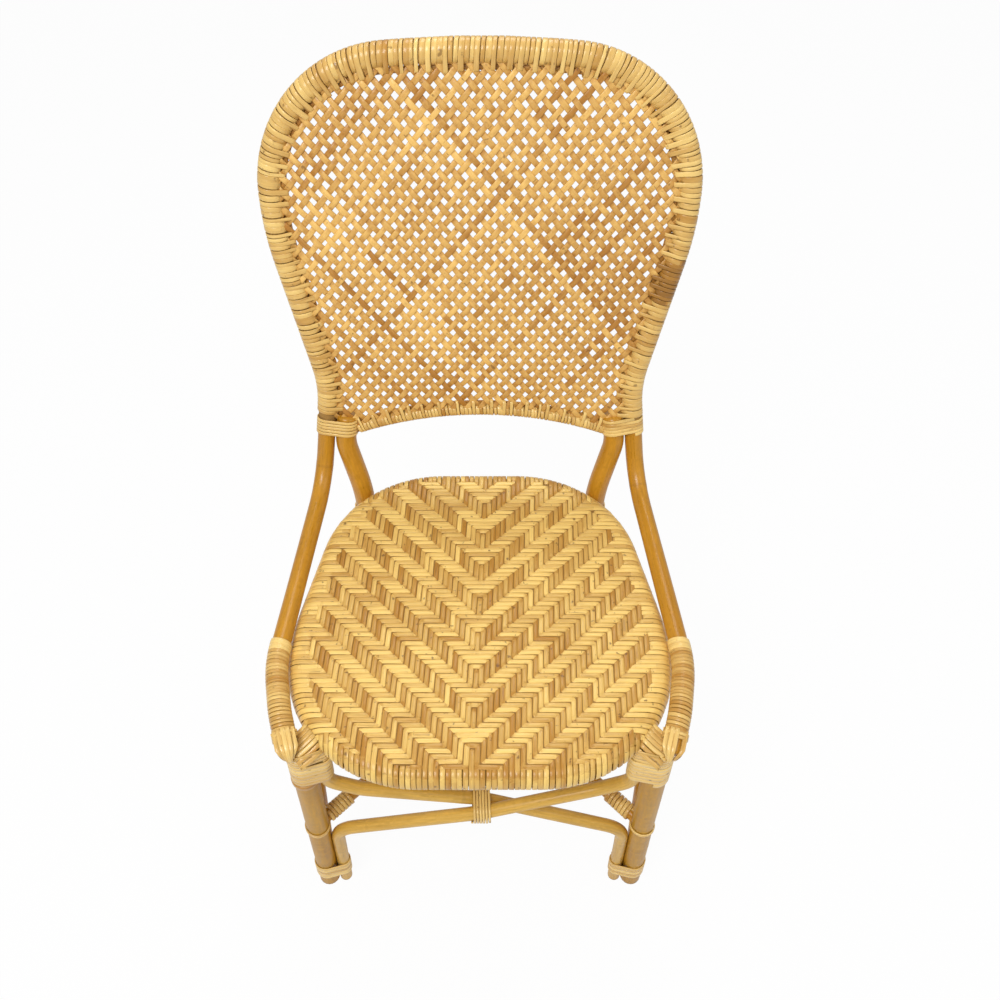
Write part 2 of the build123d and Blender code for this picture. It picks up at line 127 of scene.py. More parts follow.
@dataclass(frozen=True)
class Route:
    """A line of evenly spaced places with a frame at each, that poles and windings follow."""

    places: tuple[Vector, ...]
    alongs: tuple[Vector, ...]
    outs: tuple[Vector, ...]
    runs: tuple[float, ...]

    @classmethod
    def through(
        cls, points: Sequence[Vector], radii: Sequence[float], out: Vector, step: float = 4.0
    ) -> Route:
        """Lays a route on straight runs joined by tangent arcs.

        Args:
            points: Corners of the route, its two ends included.
            radii: Radius of the arc at each inner corner.
            out: Direction that the first frame's out leans towards.
            step: Distance between places.

        Returns:
            The route, with frames that turn as little as they can.
        """
        corners: list[list[Vector]] = [[points[0].copy()]]
        for before, corner, after, radius in zip(points, points[1:], points[2:], radii):
            corners.append(cls._arc(before, corner, after, radius))
        corners.append([points[-1].copy()])
        chain = [place for group in corners for place in group]
        return cls.along(cls._even(chain, step), out)

    @staticmethod
    def _arc(before: Vector, corner: Vector, after: Vector, radius: float) -> list[Vector]:
        """Places on the arc that rounds one corner."""
        back = (before - corner).normalized()
        ahead = (after - corner).normalized()
        turn = math.pi - back.angle(ahead)
        if turn < 0.001:
            return [corner.copy()]
        centre = corner + (back + ahead).normalized() * radius / math.cos(turn / 2)
        start = corner + back * radius * math.tan(turn / 2) - centre
        axis = start.cross(corner + ahead * radius * math.tan(turn / 2) - centre).normalized()
        steps = max(2, math.ceil(turn / 0.06))
        return [centre + Matrix.Rotation(turn * part / steps, 3, axis) @ start for part in range(steps + 1)]

    @staticmethod
    def _even(chain: Sequence[Vector], step: float) -> list[Vector]:
        """Places at an even distance along a chain of points."""
        lengths = [(after - before).length for before, after in zip(chain, chain[1:])]
        total = sum(lengths)
        count = max(2, round(total / step))
        places, reached, link = [], 0.0, 0
        for part in range(count + 1):
            goal = total * part / count
            while link < len(lengths) - 1 and reached + lengths[link] < goal:
                reached += lengths[link]
                link += 1
            share = (goal - reached) / max(lengths[link], 1e-9)
            places.append(chain[link].lerp(chain[link + 1], min(share, 1.0)))
        return places

    @classmethod
    def along(cls, places: Sequence[Vector], out: Vector) -> Route:
        """Gives each place a frame that turns as little as it can from the one before."""
        alongs, outs, runs = [], [], []
        run = 0.0
        for number, place in enumerate(places):
            before = places[max(number - 1, 0)]
            after = places[min(number + 1, len(places) - 1)]
            ahead = (after - before).normalized()
            out = (out - ahead * out.dot(ahead)).normalized()
            if number:
                run += (place - before).length
            alongs.append(ahead)
            outs.append(out)
            runs.append(run)
        return cls(tuple(places), tuple(alongs), tuple(outs), tuple(runs))

    @property
    def length(self) -> float:
        """Length of the route."""
        return self.runs[-1]

    def at(self, run: float) -> tuple[Vector, Vector, Vector]:
        """Place, direction and out of the route at a distance from its start."""
        share = min(max(run / self.length, 0.0), 1.0) * (len(self.places) - 1)
        low = min(int(share), len(self.places) - 2)
        part = share - low
        return (
            self.places[low].lerp(self.places[low + 1], part),
            self.alongs[low].lerp(self.alongs[low + 1], part).normalized(),
            self.outs[low].lerp(self.outs[low + 1], part).normalized(),
        )


@dataclass
class Workpiece:
    """A mesh in the making: strips and poles are laid into it and it ends as one object."""

    name: str
    mesh: bmesh.types.BMesh = field(default_factory=bmesh.new)

    def __post_init__(self) -> None:
        """Adds the layers that the finishes read."""
        self.strand_map = self.mesh.loops.layers.uv.new("strand")
        self.tone = self.mesh.loops.layers.float_color.new("tone")

    def lay(self, stations: Sequence[Station], shape: Shape) -> None:
        """Lays one closed strip or pole through its stations.

        Args:
            stations: Places from the first end to the last.
            shape: Cross-section, scaled by each station's width and height.
        """
        rows, columns = len(stations) - 1, len(shape.value)
        grid = bmesh.ops.create_grid(self.mesh, x_segments=rows, y_segments=columns, size=1.0)["verts"]
        places: dict[bmesh.types.BMVert, tuple[int, int]] = {}
        for vert in grid:
            row = round((vert.co.x + 1) / 2 * rows)
            column = round((vert.co.y + 1) / 2 * columns)
            places[vert] = (row, column)
        for vert, (row, column) in places.items():
            station = stations[row]
            across, lift = shape.value[column % columns]
            offset = station.side * (across * station.width) + station.out * (lift * station.height)
            vert.co = (station.place + offset) * METRE
        faces = {face for vert in grid for face in vert.link_faces}
        for face in faces:
            face.smooth = True
            for loop in face.loops:
                row, column = places[loop.vert]
                station = stations[row]
                loop[self.strand_map].uv = (column / columns, station.run * METRE)
                loop[self.tone] = (station.tone, station.tone, station.tone, 1.0)
        seam = [vert for vert, (_, column) in places.items() if column in (0, columns)]
        bmesh.ops.remove_doubles(self.mesh, verts=seam, dist=1e-7)

    def finish(self, material: bpy.types.Material, slot: str, *nodes: str) -> bpy.types.Object:
        """Closes the ends, turns the faces outwards and makes the object.

        Args:
            material: Finish of the whole piece.
            slot: Material slot of the record that the piece belongs to; not used.
            nodes: CAD nodes that the piece stands for.

        Returns:
            The object, riding on the chair.
        """
        ends = [edge for edge in self.mesh.edges if edge.is_boundary]
        bmesh.ops.holes_fill(self.mesh, edges=ends, sides=0)
        bmesh.ops.recalc_face_normals(self.mesh, faces=self.mesh.faces)
        data = bpy.data.meshes.new(self.name)
        self.mesh.to_mesh(data)
        self.mesh.free()
        data.materials.append(material)
        piece = bpy.data.objects.new(self.name, data)
        bpy.context.scene.collection.objects.link(piece)
        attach(piece, "root")
        if nodes:
            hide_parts(*nodes)
        LOG.info("%s: %d faces", self.name, len(data.polygons))
        return piece


def pole_stations(route: Route, radius: float, seed: int, joint_spacing: float = 260.0) -> list[Station]:
    """Stations of a natural pole, a little uneven and thicker at its growth joints.

    Args:
        route: Centre line.
        radius: Mean radius.
        seed: Seed of the unevenness.
        joint_spacing: Mean distance between growth joints.

    Returns:
        One station for each place of the route.
    """
    rng = random.Random(seed)
    first = rng.uniform(0.2, 0.8) * joint_spacing
    stations = []
    for place, along, out, run in zip(route.places, route.alongs, route.outs, route.runs):
        from_joint = abs((run - first + joint_spacing / 2) % joint_spacing - joint_spacing / 2)
        swell = 1.0 + 0.014 * math.exp(-((from_joint / 5) ** 2)) + 0.008 * math.sin(run / 37 + seed)
        width = 2 * radius * swell
        tone = rng.random() * 0.1
        stations.append(Station(place, along.cross(out), out, run - first, width, width, tone))
    return stations


@dataclass(frozen=True)
class Turn:
    """One turn of a winding: where it starts, how wide it is, its tone and how far it reaches."""

    start: float
    width: float
    tone: float
    reach: float


@dataclass(frozen=True)
class Winding:
    """A strip of peel wound on in turns of uneven width, some of them drawn out to one side."""

    radius: float
    thickness: float
    width: float
    spread: float = 0.22
    gap: float = 0.5
    steps: int = 18
    wide_share: float = 0.0
    tone: float = 0.5
    tone_spread: float = 0.42
    reach: float = 0.0
    reach_height: float = 4.5
    tip_radius: float = 2.2
    most_shorts: int = 2
    broad_starts: int = 0
    seam: float = -135

    def turns(self, length: float, rng: random.Random) -> list[Turn]:
        """The turns that fill a length."""
        turns: list[Turn] = []
        reached, shorts = 0.0, 1
        while reached < length:
            width = self.width * rng.uniform(1 - self.spread, 1 + self.spread)
            reach = 0.0
            if self.reach and not shorts:
                reach, shorts = self.reach * rng.uniform(0.88, 1.14), rng.randint(1, self.most_shorts)
                width *= 0.92
            else:
                shorts -= 1
                if rng.random() < self.wide_share:
                    width *= 1.5
            tone = min(max(rng.gauss(self.tone, self.tone_spread * 0.5), 0.0), 1.0)
            if len(turns) < self.broad_starts:
                width, tone = self.width * 1.9, 0.1
            turns.append(Turn(reached, width, tone, reach))
            reached += width + self.gap
        share = length / reached
        return [Turn(turn.start * share, turn.width * share, turn.tone, turn.reach) for turn in turns]

    def loop(self, reach: float) -> list[tuple[float, float, float]]:
        """Places once round the pole and out to the reach.

        Args:
            reach: Distance of the turn's tip from the pole's centre, or 0 for a plain turn.

        Returns:
            Distance inward, distance outward and bearing of each place, from the hidden side on.
        """
        start = math.radians(self.seam)
        if not reach:
            bearings = [start + math.tau * step / self.steps for step in range(self.steps)]
            return [(self.radius * math.cos(turn), self.radius * math.sin(turn), turn) for turn in bearings]
        distance = math.hypot(reach, self.reach_height)
        heading = math.atan2(self.reach_height, reach)
        half = math.acos((self.radius - self.tip_radius) / distance)
        arcs = (
            (0.0, 0.0, self.radius, start, heading - half, 3),
            (reach, self.reach_height, self.tip_radius, heading - half, heading + half, 4),
            (0.0, 0.0, self.radius, heading + half, start + math.tau, self.steps // 2),
        )
        places = []
        for x, y, radius, first, last, steps in arcs:
            for step in range(steps + 1):
                turn = first + (last - first) * step / steps
                places.append((x + radius * math.cos(turn), y + radius * math.sin(turn), turn))
        return places[:-1]

    def round_route(
        self, route: Route, start: float, end: float, seed: int, middle: Vector | None = None
    ) -> list[Station]:
        """Stations of the strip wound round a route.

        Args:
            route: Centre line of what is wrapped.
            start: Distance along the route where the first turn starts.
            end: Distance along the route where the last turn ends.
            seed: Seed of the widths and tones.
            middle: Place that the drawn-out turns reach towards.

        Returns:
            Stations from the first turn to the last.
        """
        rng = random.Random(seed)
        turns = self.turns(end - start, rng)
        stations: list[Station] = []
        run = 0.0
        for turn, after in zip(turns, turns[1:] + turns[-1:]):
            first = turn.start + turn.width / 2
            last = after.start + after.width / 2 if after is not turn else end - start
            places = self.loop(turn.reach)
            for number, (inward, outward, _) in enumerate(places):
                share = number / len(places)
                place, along, out = route.at(start + first + (last - first) * share)
                across = along.cross(out)
                if middle is not None and across.dot(middle - place) < 0:
                    across = -across
                bearing = places[number][2]
                normal = across * math.cos(bearing) + out * math.sin(bearing)
                spot = place + across * inward + out * outward
                if stations:
                    run += (spot - stations[-1].place).length
                wide = turn.width + (after.width - turn.width) * max(0.0, share - 0.8) * 5
                stations.append(Station(spot, along, normal, run, wide, self.thickness, turn.tone))
        return stations


@dataclass(frozen=True)
class Hull:
    """The line of a strand pulled tight round one or more round poles, seen along them."""

    origin: Vector
    across: Vector
    up: Vector
    circles: tuple[Circle, ...]

    @classmethod
    def round_all(cls, origin: Vector, across: Vector, up: Vector, circles: Sequence[Circle]) -> Hull:
        """Hull round poles in any order, put in order by their bearing from the middle."""
        x = sum(circle[0] for circle in circles) / len(circles)
        y = sum(circle[1] for circle in circles) / len(circles)
        ordered = sorted(circles, key=lambda circle: math.atan2(circle[1] - y, circle[0] - x))
        return cls(origin, across, up, tuple(ordered))

    def samples(self, clearance: float, spacing: float = 2.5) -> list[tuple[Vector, Vector, float]]:
        """Offset, outward direction and run of places once round the hull."""
        along_x = (self.across - self.up * self.across.dot(self.up)).normalized()
        along_y = self.up.cross(along_x)
        leave: list[float] = []
        for number, (x, y, radius) in enumerate(self.circles):
            next_x, next_y, next_radius = self.circles[(number + 1) % len(self.circles)]
            distance = math.hypot(next_x - x, next_y - y)
            if distance:
                heading = math.atan2(next_y - y, next_x - x)
                leave.append(heading - math.acos((radius - next_radius) / distance))
        places: list[tuple[float, float, float]] = []
        for number, (x, y, radius) in enumerate(self.circles):
            start = leave[number - 1] if leave else 0.0
            turn = (leave[number] - start) % math.tau if leave else math.tau
            reach = radius + clearance
            steps = max(3, math.ceil(turn * reach / spacing))
            for step in range(steps + 1):
                angle = start + turn * step / steps
                places.append((x + reach * math.cos(angle), y + reach * math.sin(angle), angle))
        if leave:
            places.append(places[0])
        samples, run = [], 0.0
        previous = None
        for x, y, angle in places:
            if previous:
                run += math.hypot(x - previous[0], y - previous[1])
            previous = (x, y)
            out = along_x * math.cos(angle) + along_y * math.sin(angle)
            samples.append((along_x * x + along_y * y, out, run))
        return samples


@dataclass(frozen=True)
class Band:
    """Turns of peel that bind the poles of a hull together."""

    width: float
    thickness: float
    loops: int
    gap: float = 0.6
    spread: float = 0.1
    tone: float = 0.6
    tone_spread: float = 0.3
    lean: float = 0.0

    def stations(self, hull: Hull, seed: int, clearance: float = 0.2) -> list[Station]:
        """Stations of the strip, climbing from the hull's origin.

        Args:
            hull: Poles that are bound.
            seed: Seed of the tones.
            clearance: Space between the poles and the strip.

        Returns:
            Stations from the lowest turn to the highest.
        """
        rng = random.Random(seed)
        samples = hull.samples(clearance)
        around = samples[-1][2]
        stations = []
        for loop in range(self.loops):
            tone = min(max(rng.gauss(self.tone, self.tone_spread * 0.5), 0.0), 1.0)
            width = self.width * rng.uniform(1 - self.spread, 1 + self.spread)
            for offset, out, run in samples[: -1 if loop + 1 < self.loops else None]:
                climb = (loop + run / around) * (self.width + self.gap) + self.width / 2
                lean = self.lean * math.sin(math.tau * run / around)
                place = hull.origin + offset + hull.up * (climb + lean)
                stations.append(
                    Station(place, hull.up, out, run + loop * around, width, self.thickness, tone)
                )
        return stations


@dataclass(frozen=True)
class Layout:
    """Sizes and lines of the frame that the pieces share, in millimetres."""

    fit_gap: float = 0.3
    seat_height: float = 450
    seat_width: float = 442
    seat_depth: float = 426
    seat_back_width: float = 340
    seat_widest_forward: float = 25
    seat_back_corner_radius: float = 150
    seat_front_corner_radius: float = 155
    seat_side_bend_radius: float = 280
    seat_edge_radius: float = 17
    weave_thickness: float = 3
    front_leg_radius: float = 14.5
    rear_leg_radius: float = 13
    front_leg_bearing: float = 39
    rear_leg_bearing: float = 51
    front_foot_half_spacing: float = 216
    front_foot_forward: float = 168
    rear_foot_half_spacing: float = 172
    rear_foot_back: float = 205
    rear_knee_bend: float = 130
    rear_corner_bend: float = 60
    rear_leg_corner_drop: float = 12
    recline: float = 17
    hoop_height: float = 538
    hoop_shoulder_height: float = 522
    hoop_width: float = 456
    hoop_crown_radius: float = 1100
    hoop_shoulder_radius: float = 140
    hoop_side_bend_height: float = 352
    hoop_side_bend_radius: float = 330
    hoop_waist_width: float = 370
    hoop_waist_height: float = 160
    hoop_waist_radius: float = 150
    hoop_pole_radius: float = 11
    hoop_wrap_thickness: float = 1.7
    back_corner_height: float = 93
    corner_binding_height: float = 27
    bottom_rail_radius: float = 6.3
    bottom_rail_wrap_thickness: float = 1.6
    bottom_rail_height: float = 126
    bottom_rail_rise: float = 29
    side_rail_height: float = 452
    side_rail_back_half_spacing: float = 203.5
    side_rail_width: float = 462
    side_rail_widest_forward: float = 75.5
    side_rail_back_bend_radius: float = 62
    side_rail_side_bend_radius: float = 160
    side_rail_front_bend_radius: float = 80
    shoulder_beside_leg: float = 21
    shoulder_behind_leg: float = 30
    knob_beside_leg: float = 8
    knob_before_leg: float = 12
    knob_height: float = 440
    knob_cap_length: float = 9
    side_wrap_start_forward: float = 41.6
    brace_radius: float = 8.5
    brace_bend_height: float = 182
    brace_bend_radius: float = 40
    brace_cross_height: float = 262
    brace_cross_radius: float = 150
    brace_shoulder_height: float = 316
    brace_shoulder_radius: float = 80
    brace_joint_height: float = 340
    brace_joint_radius: float = 25
    brace_end_cover: float = 3
    leg_binding_bottom: float = 355
    leg_binding_top: float = 405
    brace_shoulder_share: float = 0.7
    brace_cross_gap: float = 0.7
    arch_top_height: float = 404
    arch_front_run_height: float = 100
    arch_lean_back: float = 34
    arch_top_radius: float = 95
    arch_ease_radius: float = 300
    arch_rear_bearing: float = 14
    stretcher_radius: float = 8
    stretcher_height: float = 200
    stretcher_bow_radius: float = 900
    stretcher_cross_gap: float = 0.6

    @property
    def ring_height(self) -> float:
        """Height of the seat ring's centre line."""
        return self.seat_height - self.seat_edge_radius

    @property
    def wrap_radius(self) -> float:
        """Inner radius of the peel on the hoop and the side rails."""
        return self.hoop_pole_radius + self.fit_gap

    def _beside_ring(
        self, centre: tuple[float, float], radius: float, bearing: float, reach: float
    ) -> Vector:
        """Point at a bearing from a seat corner's centre, just outside the seat's edge."""
        distance = radius + reach + self.fit_gap
        angle = math.radians(bearing)
        return Vector((centre[0] + distance * math.cos(angle), centre[1] + distance * math.sin(angle), 0))

    @property
    def front_top(self) -> Vector:
        """Where a front leg passes the seat ring, in the seat's frame."""
        radius = self.seat_front_corner_radius
        centre = (self.seat_width / 2 - radius, radius - self.seat_depth / 2)
        return self._beside_ring(centre, radius, -self.front_leg_bearing, self.front_leg_radius)

    @property
    def rear_knee(self) -> Vector:
        """Where a rear leg passes the seat ring, in the seat's frame."""
        radius = self.seat_back_corner_radius
        near_x, near_y = self.seat_back_width / 2, self.seat_depth / 2
        turn = math.atan2(self.seat_width / 2 - near_x, near_y + self.seat_widest_forward)
        centre = (near_x - radius * math.tan((math.pi / 2 - turn) / 2), near_y - radius)
        reach = self.rear_leg_radius / math.cos(math.radians(self.recline))
        return self._beside_ring(centre, radius, self.rear_leg_bearing, reach)

    @property
    def seat_y(self) -> float:
        """Place of the seat's middle in the chair's frame."""
        slope = math.atan2(self.hoop_height - self.hoop_shoulder_height, self.hoop_width / 2)
        crown = self.hoop_height - self.hoop_crown_radius * (1 / math.cos(slope) - 1)
        wrap = self.wrap_radius + self.hoop_wrap_thickness
        reach = self.rear_knee.y + crown * math.sin(math.radians(self.recline)) + wrap
        return (self.seat_depth / 2 - reach) / 2

    def on_seat(self, side: float, x: float, y: float, z: float) -> Vector:
        """Point of the seat's frame, on one side of the chair, in the chair's frame."""
        return Vector((side * x, self.seat_y + y, z))

    def front_leg_at(self, side: float, z: float) -> Vector:
        """Centre of a front leg at a height."""
        top = self.on_seat(side, self.front_top.x, self.front_top.y, self.ring_height)
        foot = self.on_seat(side, self.front_foot_half_spacing, -self.front_foot_forward, 0)
        return foot + (top - foot) * (z / self.ring_height)

    def rear_leg_at(self, side: float, z: float) -> Vector:
        """Centre of a rear leg's lower run at a height."""
        knee = self.on_seat(side, self.rear_knee.x, self.rear_knee.y, self.ring_height)
        foot = self.on_seat(side, self.rear_foot_half_spacing, self.rear_foot_back, 0)
        return foot + (knee - foot) * (z / self.ring_height)

    @property
    def leg_rows(self) -> tuple[tuple[str, LegAt, float], ...]:
        """Name, line and radius of the front legs and of the rear legs."""
        return (
            ("front", self.front_leg_at, self.front_leg_radius),
            ("rear", self.rear_leg_at, self.rear_leg_radius),
        )

    @staticmethod
    def leg_up(leg_at: LegAt, side: float) -> Vector:
        """Direction of a leg, up from its foot."""
        return (leg_at(side, 100) - leg_at(side, 0)).normalized()

    def brace_beside(self, side: float, leg_radius: float) -> float:
        """Distance along x from a leg's centre to that of the pole bound to its inner side."""
        return -side * (leg_radius + self.brace_radius + self.fit_gap)

    @property
    def back_up(self) -> Vector:
        """Direction up the slope of the back."""
        lean = math.radians(self.recline)
        return Vector((0, math.sin(lean), math.cos(lean)))

    @property
    def back_out(self) -> Vector:
        """Direction square to the back, towards the front."""
        lean = math.radians(self.recline)
        return Vector((0, -math.cos(lean), math.sin(lean)))

    def on_back(self, u: float, v: float, lift: float = 0.0) -> Vector:
        """Point of the back, u across, v up the slope and lifted towards the front."""
        origin = Vector((0, self.seat_y + self.rear_knee.y, self.ring_height))
        return origin + RIGHTWARD * u + self.back_up * v + self.back_out * lift

    @property
    def rail_corner(self) -> tuple[float, float]:
        """Bend of the side rail in the back's plane."""
        rise = self.side_rail_height - self.ring_height
        return self.side_rail_back_half_spacing, rise / math.cos(math.radians(self.recline))

    def hoop_foot(self, v: float, inward: float = 0.0) -> tuple[float, float]:
        """Point on the straight line that the hoop shares with the side rail, or square to it."""
        corner_u, corner_v = self.rail_corner
        waist = self.hoop_waist_width / 2
        lean = math.atan2(corner_u - waist, self.hoop_waist_height - corner_v)
        u = waist + (self.hoop_waist_height - v) * math.tan(lean)
        return u - inward * math.cos(lean), v - inward * math.sin(lean)

    @property
    def binding_top(self) -> float:
        """Top of the back corner's binding, up the slope."""
        return self.back_corner_height + self.corner_binding_height

    @property
    def corner_spacing(self) -> float:
        """Distance between the hoop and the rear leg in the back's corner."""
        return self.hoop_pole_radius + self.rear_leg_radius + 2 * self.fit_gap

    @property
    def rail_end(self) -> tuple[float, float]:
        """End of the bottom rail on the right."""
        return self.hoop_foot(self.bottom_rail_height - self.bottom_rail_rise, self.corner_spacing)

    def hoop_corners(self, foot_height: float) -> list[tuple[float, float]]:
        """Corners of the hoop's route in the back's plane, from the left foot to the right."""
        right = [
            (self.hoop_width / 2, self.hoop_shoulder_height),
            (self.hoop_width / 2, self.hoop_side_bend_height),
            (self.hoop_waist_width / 2, self.hoop_waist_height),
            self.hoop_foot(foot_height),
        ]
        return [(-u, v) for u, v in reversed(right)] + [(0.0, self.hoop_height)] + right

    def hoop_route(self, foot_height: float, lift: float = 0.0) -> Route:
        """Centre line of the hoop from a height on the left to the same on the right."""
        sides = [self.hoop_waist_radius, self.hoop_side_bend_radius, self.hoop_shoulder_radius]
        points = [self.on_back(u, v, lift) for u, v in self.hoop_corners(foot_height)]
        return Route.through(points, sides + [self.hoop_crown_radius] + sides[::-1], self.back_out)

    def bottom_rail_route(self) -> Route:
        """Centre line of the arched bottom rail."""
        end_u, end_v = self.rail_end
        rise = self.bottom_rail_height - end_v
        radius = (end_u**2 + rise**2) / (2 * rise)
        half = math.asin(end_u / radius)
        places = []
        for step in range(97):
            angle = half * (step / 48 - 1)
            v = self.bottom_rail_height - radius * (1 - math.cos(angle))
            places.append(self.on_back(radius * math.sin(angle), v))
        return Route.along(places, self.back_out)

    def rear_leg_route(self, side: float) -> Route:
        """Centre line of a rear leg from the floor into the back's corner."""
        corner = self.hoop_foot(self.back_corner_height - self.rear_leg_corner_drop, self.corner_spacing)
        top = self.hoop_foot(self.binding_top, self.corner_spacing)
        points = [
            self.rear_leg_at(side, 0),
            self.on_seat(side, self.rear_knee.x, self.rear_knee.y, self.ring_height),
            self.on_back(side * corner[0], corner[1]),
            self.on_back(side * top[0], top[1]),
        ]
        return Route.through(points, [self.rear_knee_bend, self.rear_corner_bend], RIGHTWARD * side)

    def side_rail_points(self, side: float) -> list[Vector]:
        """Corners of a side rail from the back's corner to its knob."""
        joint = self.hoop_foot(self.back_corner_height + self.corner_binding_height / 2)
        bend_u, bend_v = self.rail_corner
        height, top = self.side_rail_height, self.front_top
        shoulder = (top.x + self.shoulder_beside_leg, top.y + self.shoulder_behind_leg)
        knob = (top.x + self.knob_beside_leg, top.y - self.knob_before_leg)
        return [
            self.on_back(side * joint[0], joint[1]),
            self.on_back(side * bend_u, bend_v),
            self.on_seat(side, self.side_rail_width / 2, -self.side_rail_widest_forward, height),
            self.on_seat(side, *shoulder, height),
            self.on_seat(side, *knob, self.knob_height),
        ]

    def side_rail_route(self, side: float) -> Route:
        """Centre line of a side rail from the back's corner to its knob."""
        bends = [
            self.side_rail_back_bend_radius, self.side_rail_side_bend_radius,
            self.side_rail_front_bend_radius,
        ]
        return Route.through(self.side_rail_points(side), bends, RIGHTWARD * side, 3.0)

    def crossing_route(self, leg_at: LegAt, side: float, leg_radius: float) -> Route:
        """Centre line of a crossing pole from beside its foot to the other leg."""
        inward = RIGHTWARD * self.brace_beside(side, leg_radius)
        stagger = Vector((0, side * (self.brace_radius + self.brace_cross_gap), 0))
        centre = (leg_at(side, self.brace_cross_height) + leg_at(-side, self.brace_cross_height)) / 2
        shoulder = centre.lerp(leg_at(-side, self.brace_shoulder_height), self.brace_shoulder_share)
        shoulder.z = self.brace_shoulder_height
        points = [
            leg_at(side, 0) + inward,
            leg_at(side, self.brace_bend_height) + inward,
            centre + stagger,
            shoulder,
            leg_at(-side, self.brace_joint_height) - inward,
            leg_at(-side, self.leg_binding_top - self.brace_end_cover) - inward,
        ]
        bends = [
            self.brace_bend_radius, self.brace_cross_radius,
            self.brace_shoulder_radius, self.brace_joint_radius,
        ]
        return Route.through(points, bends, FORWARD)

    def arch_offsets(self, side: float) -> tuple[Vector, Vector]:
        """Where a side arch stands beside its front leg and beside its rear leg."""
        behind = Vector((0, self.front_leg_radius + self.brace_radius + self.fit_gap, 0))
        before = Vector((0, -self.rear_leg_radius - self.brace_radius - self.fit_gap, 0))
        before.rotate(Matrix.Rotation(math.radians(side * self.arch_rear_bearing), 3, "Z"))
        return behind, before

    def arch_route(self, side: float) -> Route:
        """Centre line of a side arch from its front foot to its rear foot."""
        behind, before = self.arch_offsets(side)
        lean = Vector((0, self.arch_lean_back, 0))
        points = [
            self.front_leg_at(side, 0) + behind,
            self.front_leg_at(side, self.arch_front_run_height) + behind,
            self.front_leg_at(side, self.arch_top_height) + behind + lean,
            self.rear_leg_at(side, self.arch_top_height) + before,
            self.rear_leg_at(side, 0) + before,
        ]
        bends = [self.arch_ease_radius, self.arch_top_radius, self.arch_top_radius]
        return Route.through(points, bends, RIGHTWARD * side)

    def stretcher_points(self, side: float) -> list[Vector]:
        """Front end, bowed middle and rear end of a diagonal stretcher."""
        front = self.front_leg_at(side, self.stretcher_height)
        rear = self.rear_leg_at(-side, self.stretcher_height)
        share = front.x / (front.x - rear.x)
        bow = UP * (side * (self.stretcher_radius + self.stretcher_cross_gap))
        return [front, front.lerp(rear, share) + bow, rear]

    def seat_outline(self, inset: float, spacing: float = 3.0) -> list[tuple[Vector, Vector]]:
        """Places of the seat's outline, inset from its edge, and the outward direction at each."""
        right = [
            (self.seat_back_width / 2, self.seat_depth / 2, self.seat_back_corner_radius),
            (self.seat_width / 2, -self.seat_widest_forward, self.seat_side_bend_radius),
            (self.seat_width / 2, -self.seat_depth / 2, self.seat_front_corner_radius),
        ]
        corners = right + [(-x, y, radius) for x, y, radius in reversed(right)]
        middle = Vector((0, self.seat_depth / 2, 0))
        points = [middle] + [Vector((x, y, 0)) for x, y, _ in corners] + [middle]
        route = Route.through(points, [radius for _, _, radius in corners], UP, spacing)
        outline = []
        for place, along in zip(route.places[:-1], route.alongs[:-1]):
            outward = along.cross(UP)
            if outward.dot(place) < 0:
                outward = -outward
            outline.append((place - outward * inset, outward))
        return outline


@dataclass(frozen=True)
class RattanFinish:
    """A lacquered rattan finish that follows the run of each strip or pole."""

    name: str
    pale: Colour
    deep: Colour
    # Colour of real stains, also used for the painted shade along the sides of strips
    stain: Colour = (0.14, 0.055, 0.012)
    tone_range: float = 1.0
    roughness: float = 0.38
    coat: float = 0.22
    grain: float = 0.25
    streak_length: float = 18.0
    streak_width: float = 3.0
    speck: float = 0.35
    bump: float = 0.15
    joints: float = 0.0
    # edge: painted shade, how far a strip is darkened towards its two sides
    edge: float = 0.0

    def build(self) -> bpy.types.Material:
        """Makes the material.

        Returns:
            A material that reads the strand map and the tone of its piece.
        """
        material = bpy.data.materials.new(self.name)
        material.use_nodes = True
        nodes, links = material.node_tree.nodes, material.node_tree.links
        shader = nodes["Principled BSDF"]
        strand = nodes.new("ShaderNodeUVMap")
        strand.uv_map = "strand"
        tone = nodes.new("ShaderNodeAttribute")
        tone.attribute_name = "tone"
        place = nodes.new("ShaderNodeTexCoord")
        group = nodes.new("ShaderNodeGroup")
        group.node_tree = rattan_group()
        values = {
            "Pale": (*self.pale, 1.0),
            "Deep": (*self.deep, 1.0),
            "Stain": (*self.stain, 1.0),
            "Tone Range": self.tone_range,
            "Streak Length": self.streak_length,
            "Streak Width": self.streak_width,
            "Grain": self.grain,
            "Speck": self.speck,
            "Joints": self.joints,
            "Edge": self.edge,
            "Base Roughness": self.roughness,
        }
        for key, value in values.items():
            group.inputs[key].default_value = value
        links.new(strand.outputs["UV"], group.inputs["Strand"])
        links.new(place.outputs["Object"], group.inputs["Place"])
        links.new(tone.outputs["Fac"], group.inputs["Tone"])
        bump = nodes.new("ShaderNodeBump")
        bump.inputs["Strength"].default_value = self.bump
        bump.inputs["Distance"].default_value = 0.0006
        links.new(group.outputs["Height"], bump.inputs["Height"])
        links.new(group.outputs["Color"], shader.inputs["Base Color"])
        links.new(group.outputs["Roughness"], shader.inputs["Roughness"])
        links.new(bump.outputs["Normal"], shader.inputs["Normal"])
        shader.inputs["Coat Weight"].default_value = self.coat
        shader.inputs["Coat Roughness"].default_value = 0.17
        shader.inputs["IOR"].default_value = 1.42
        return material


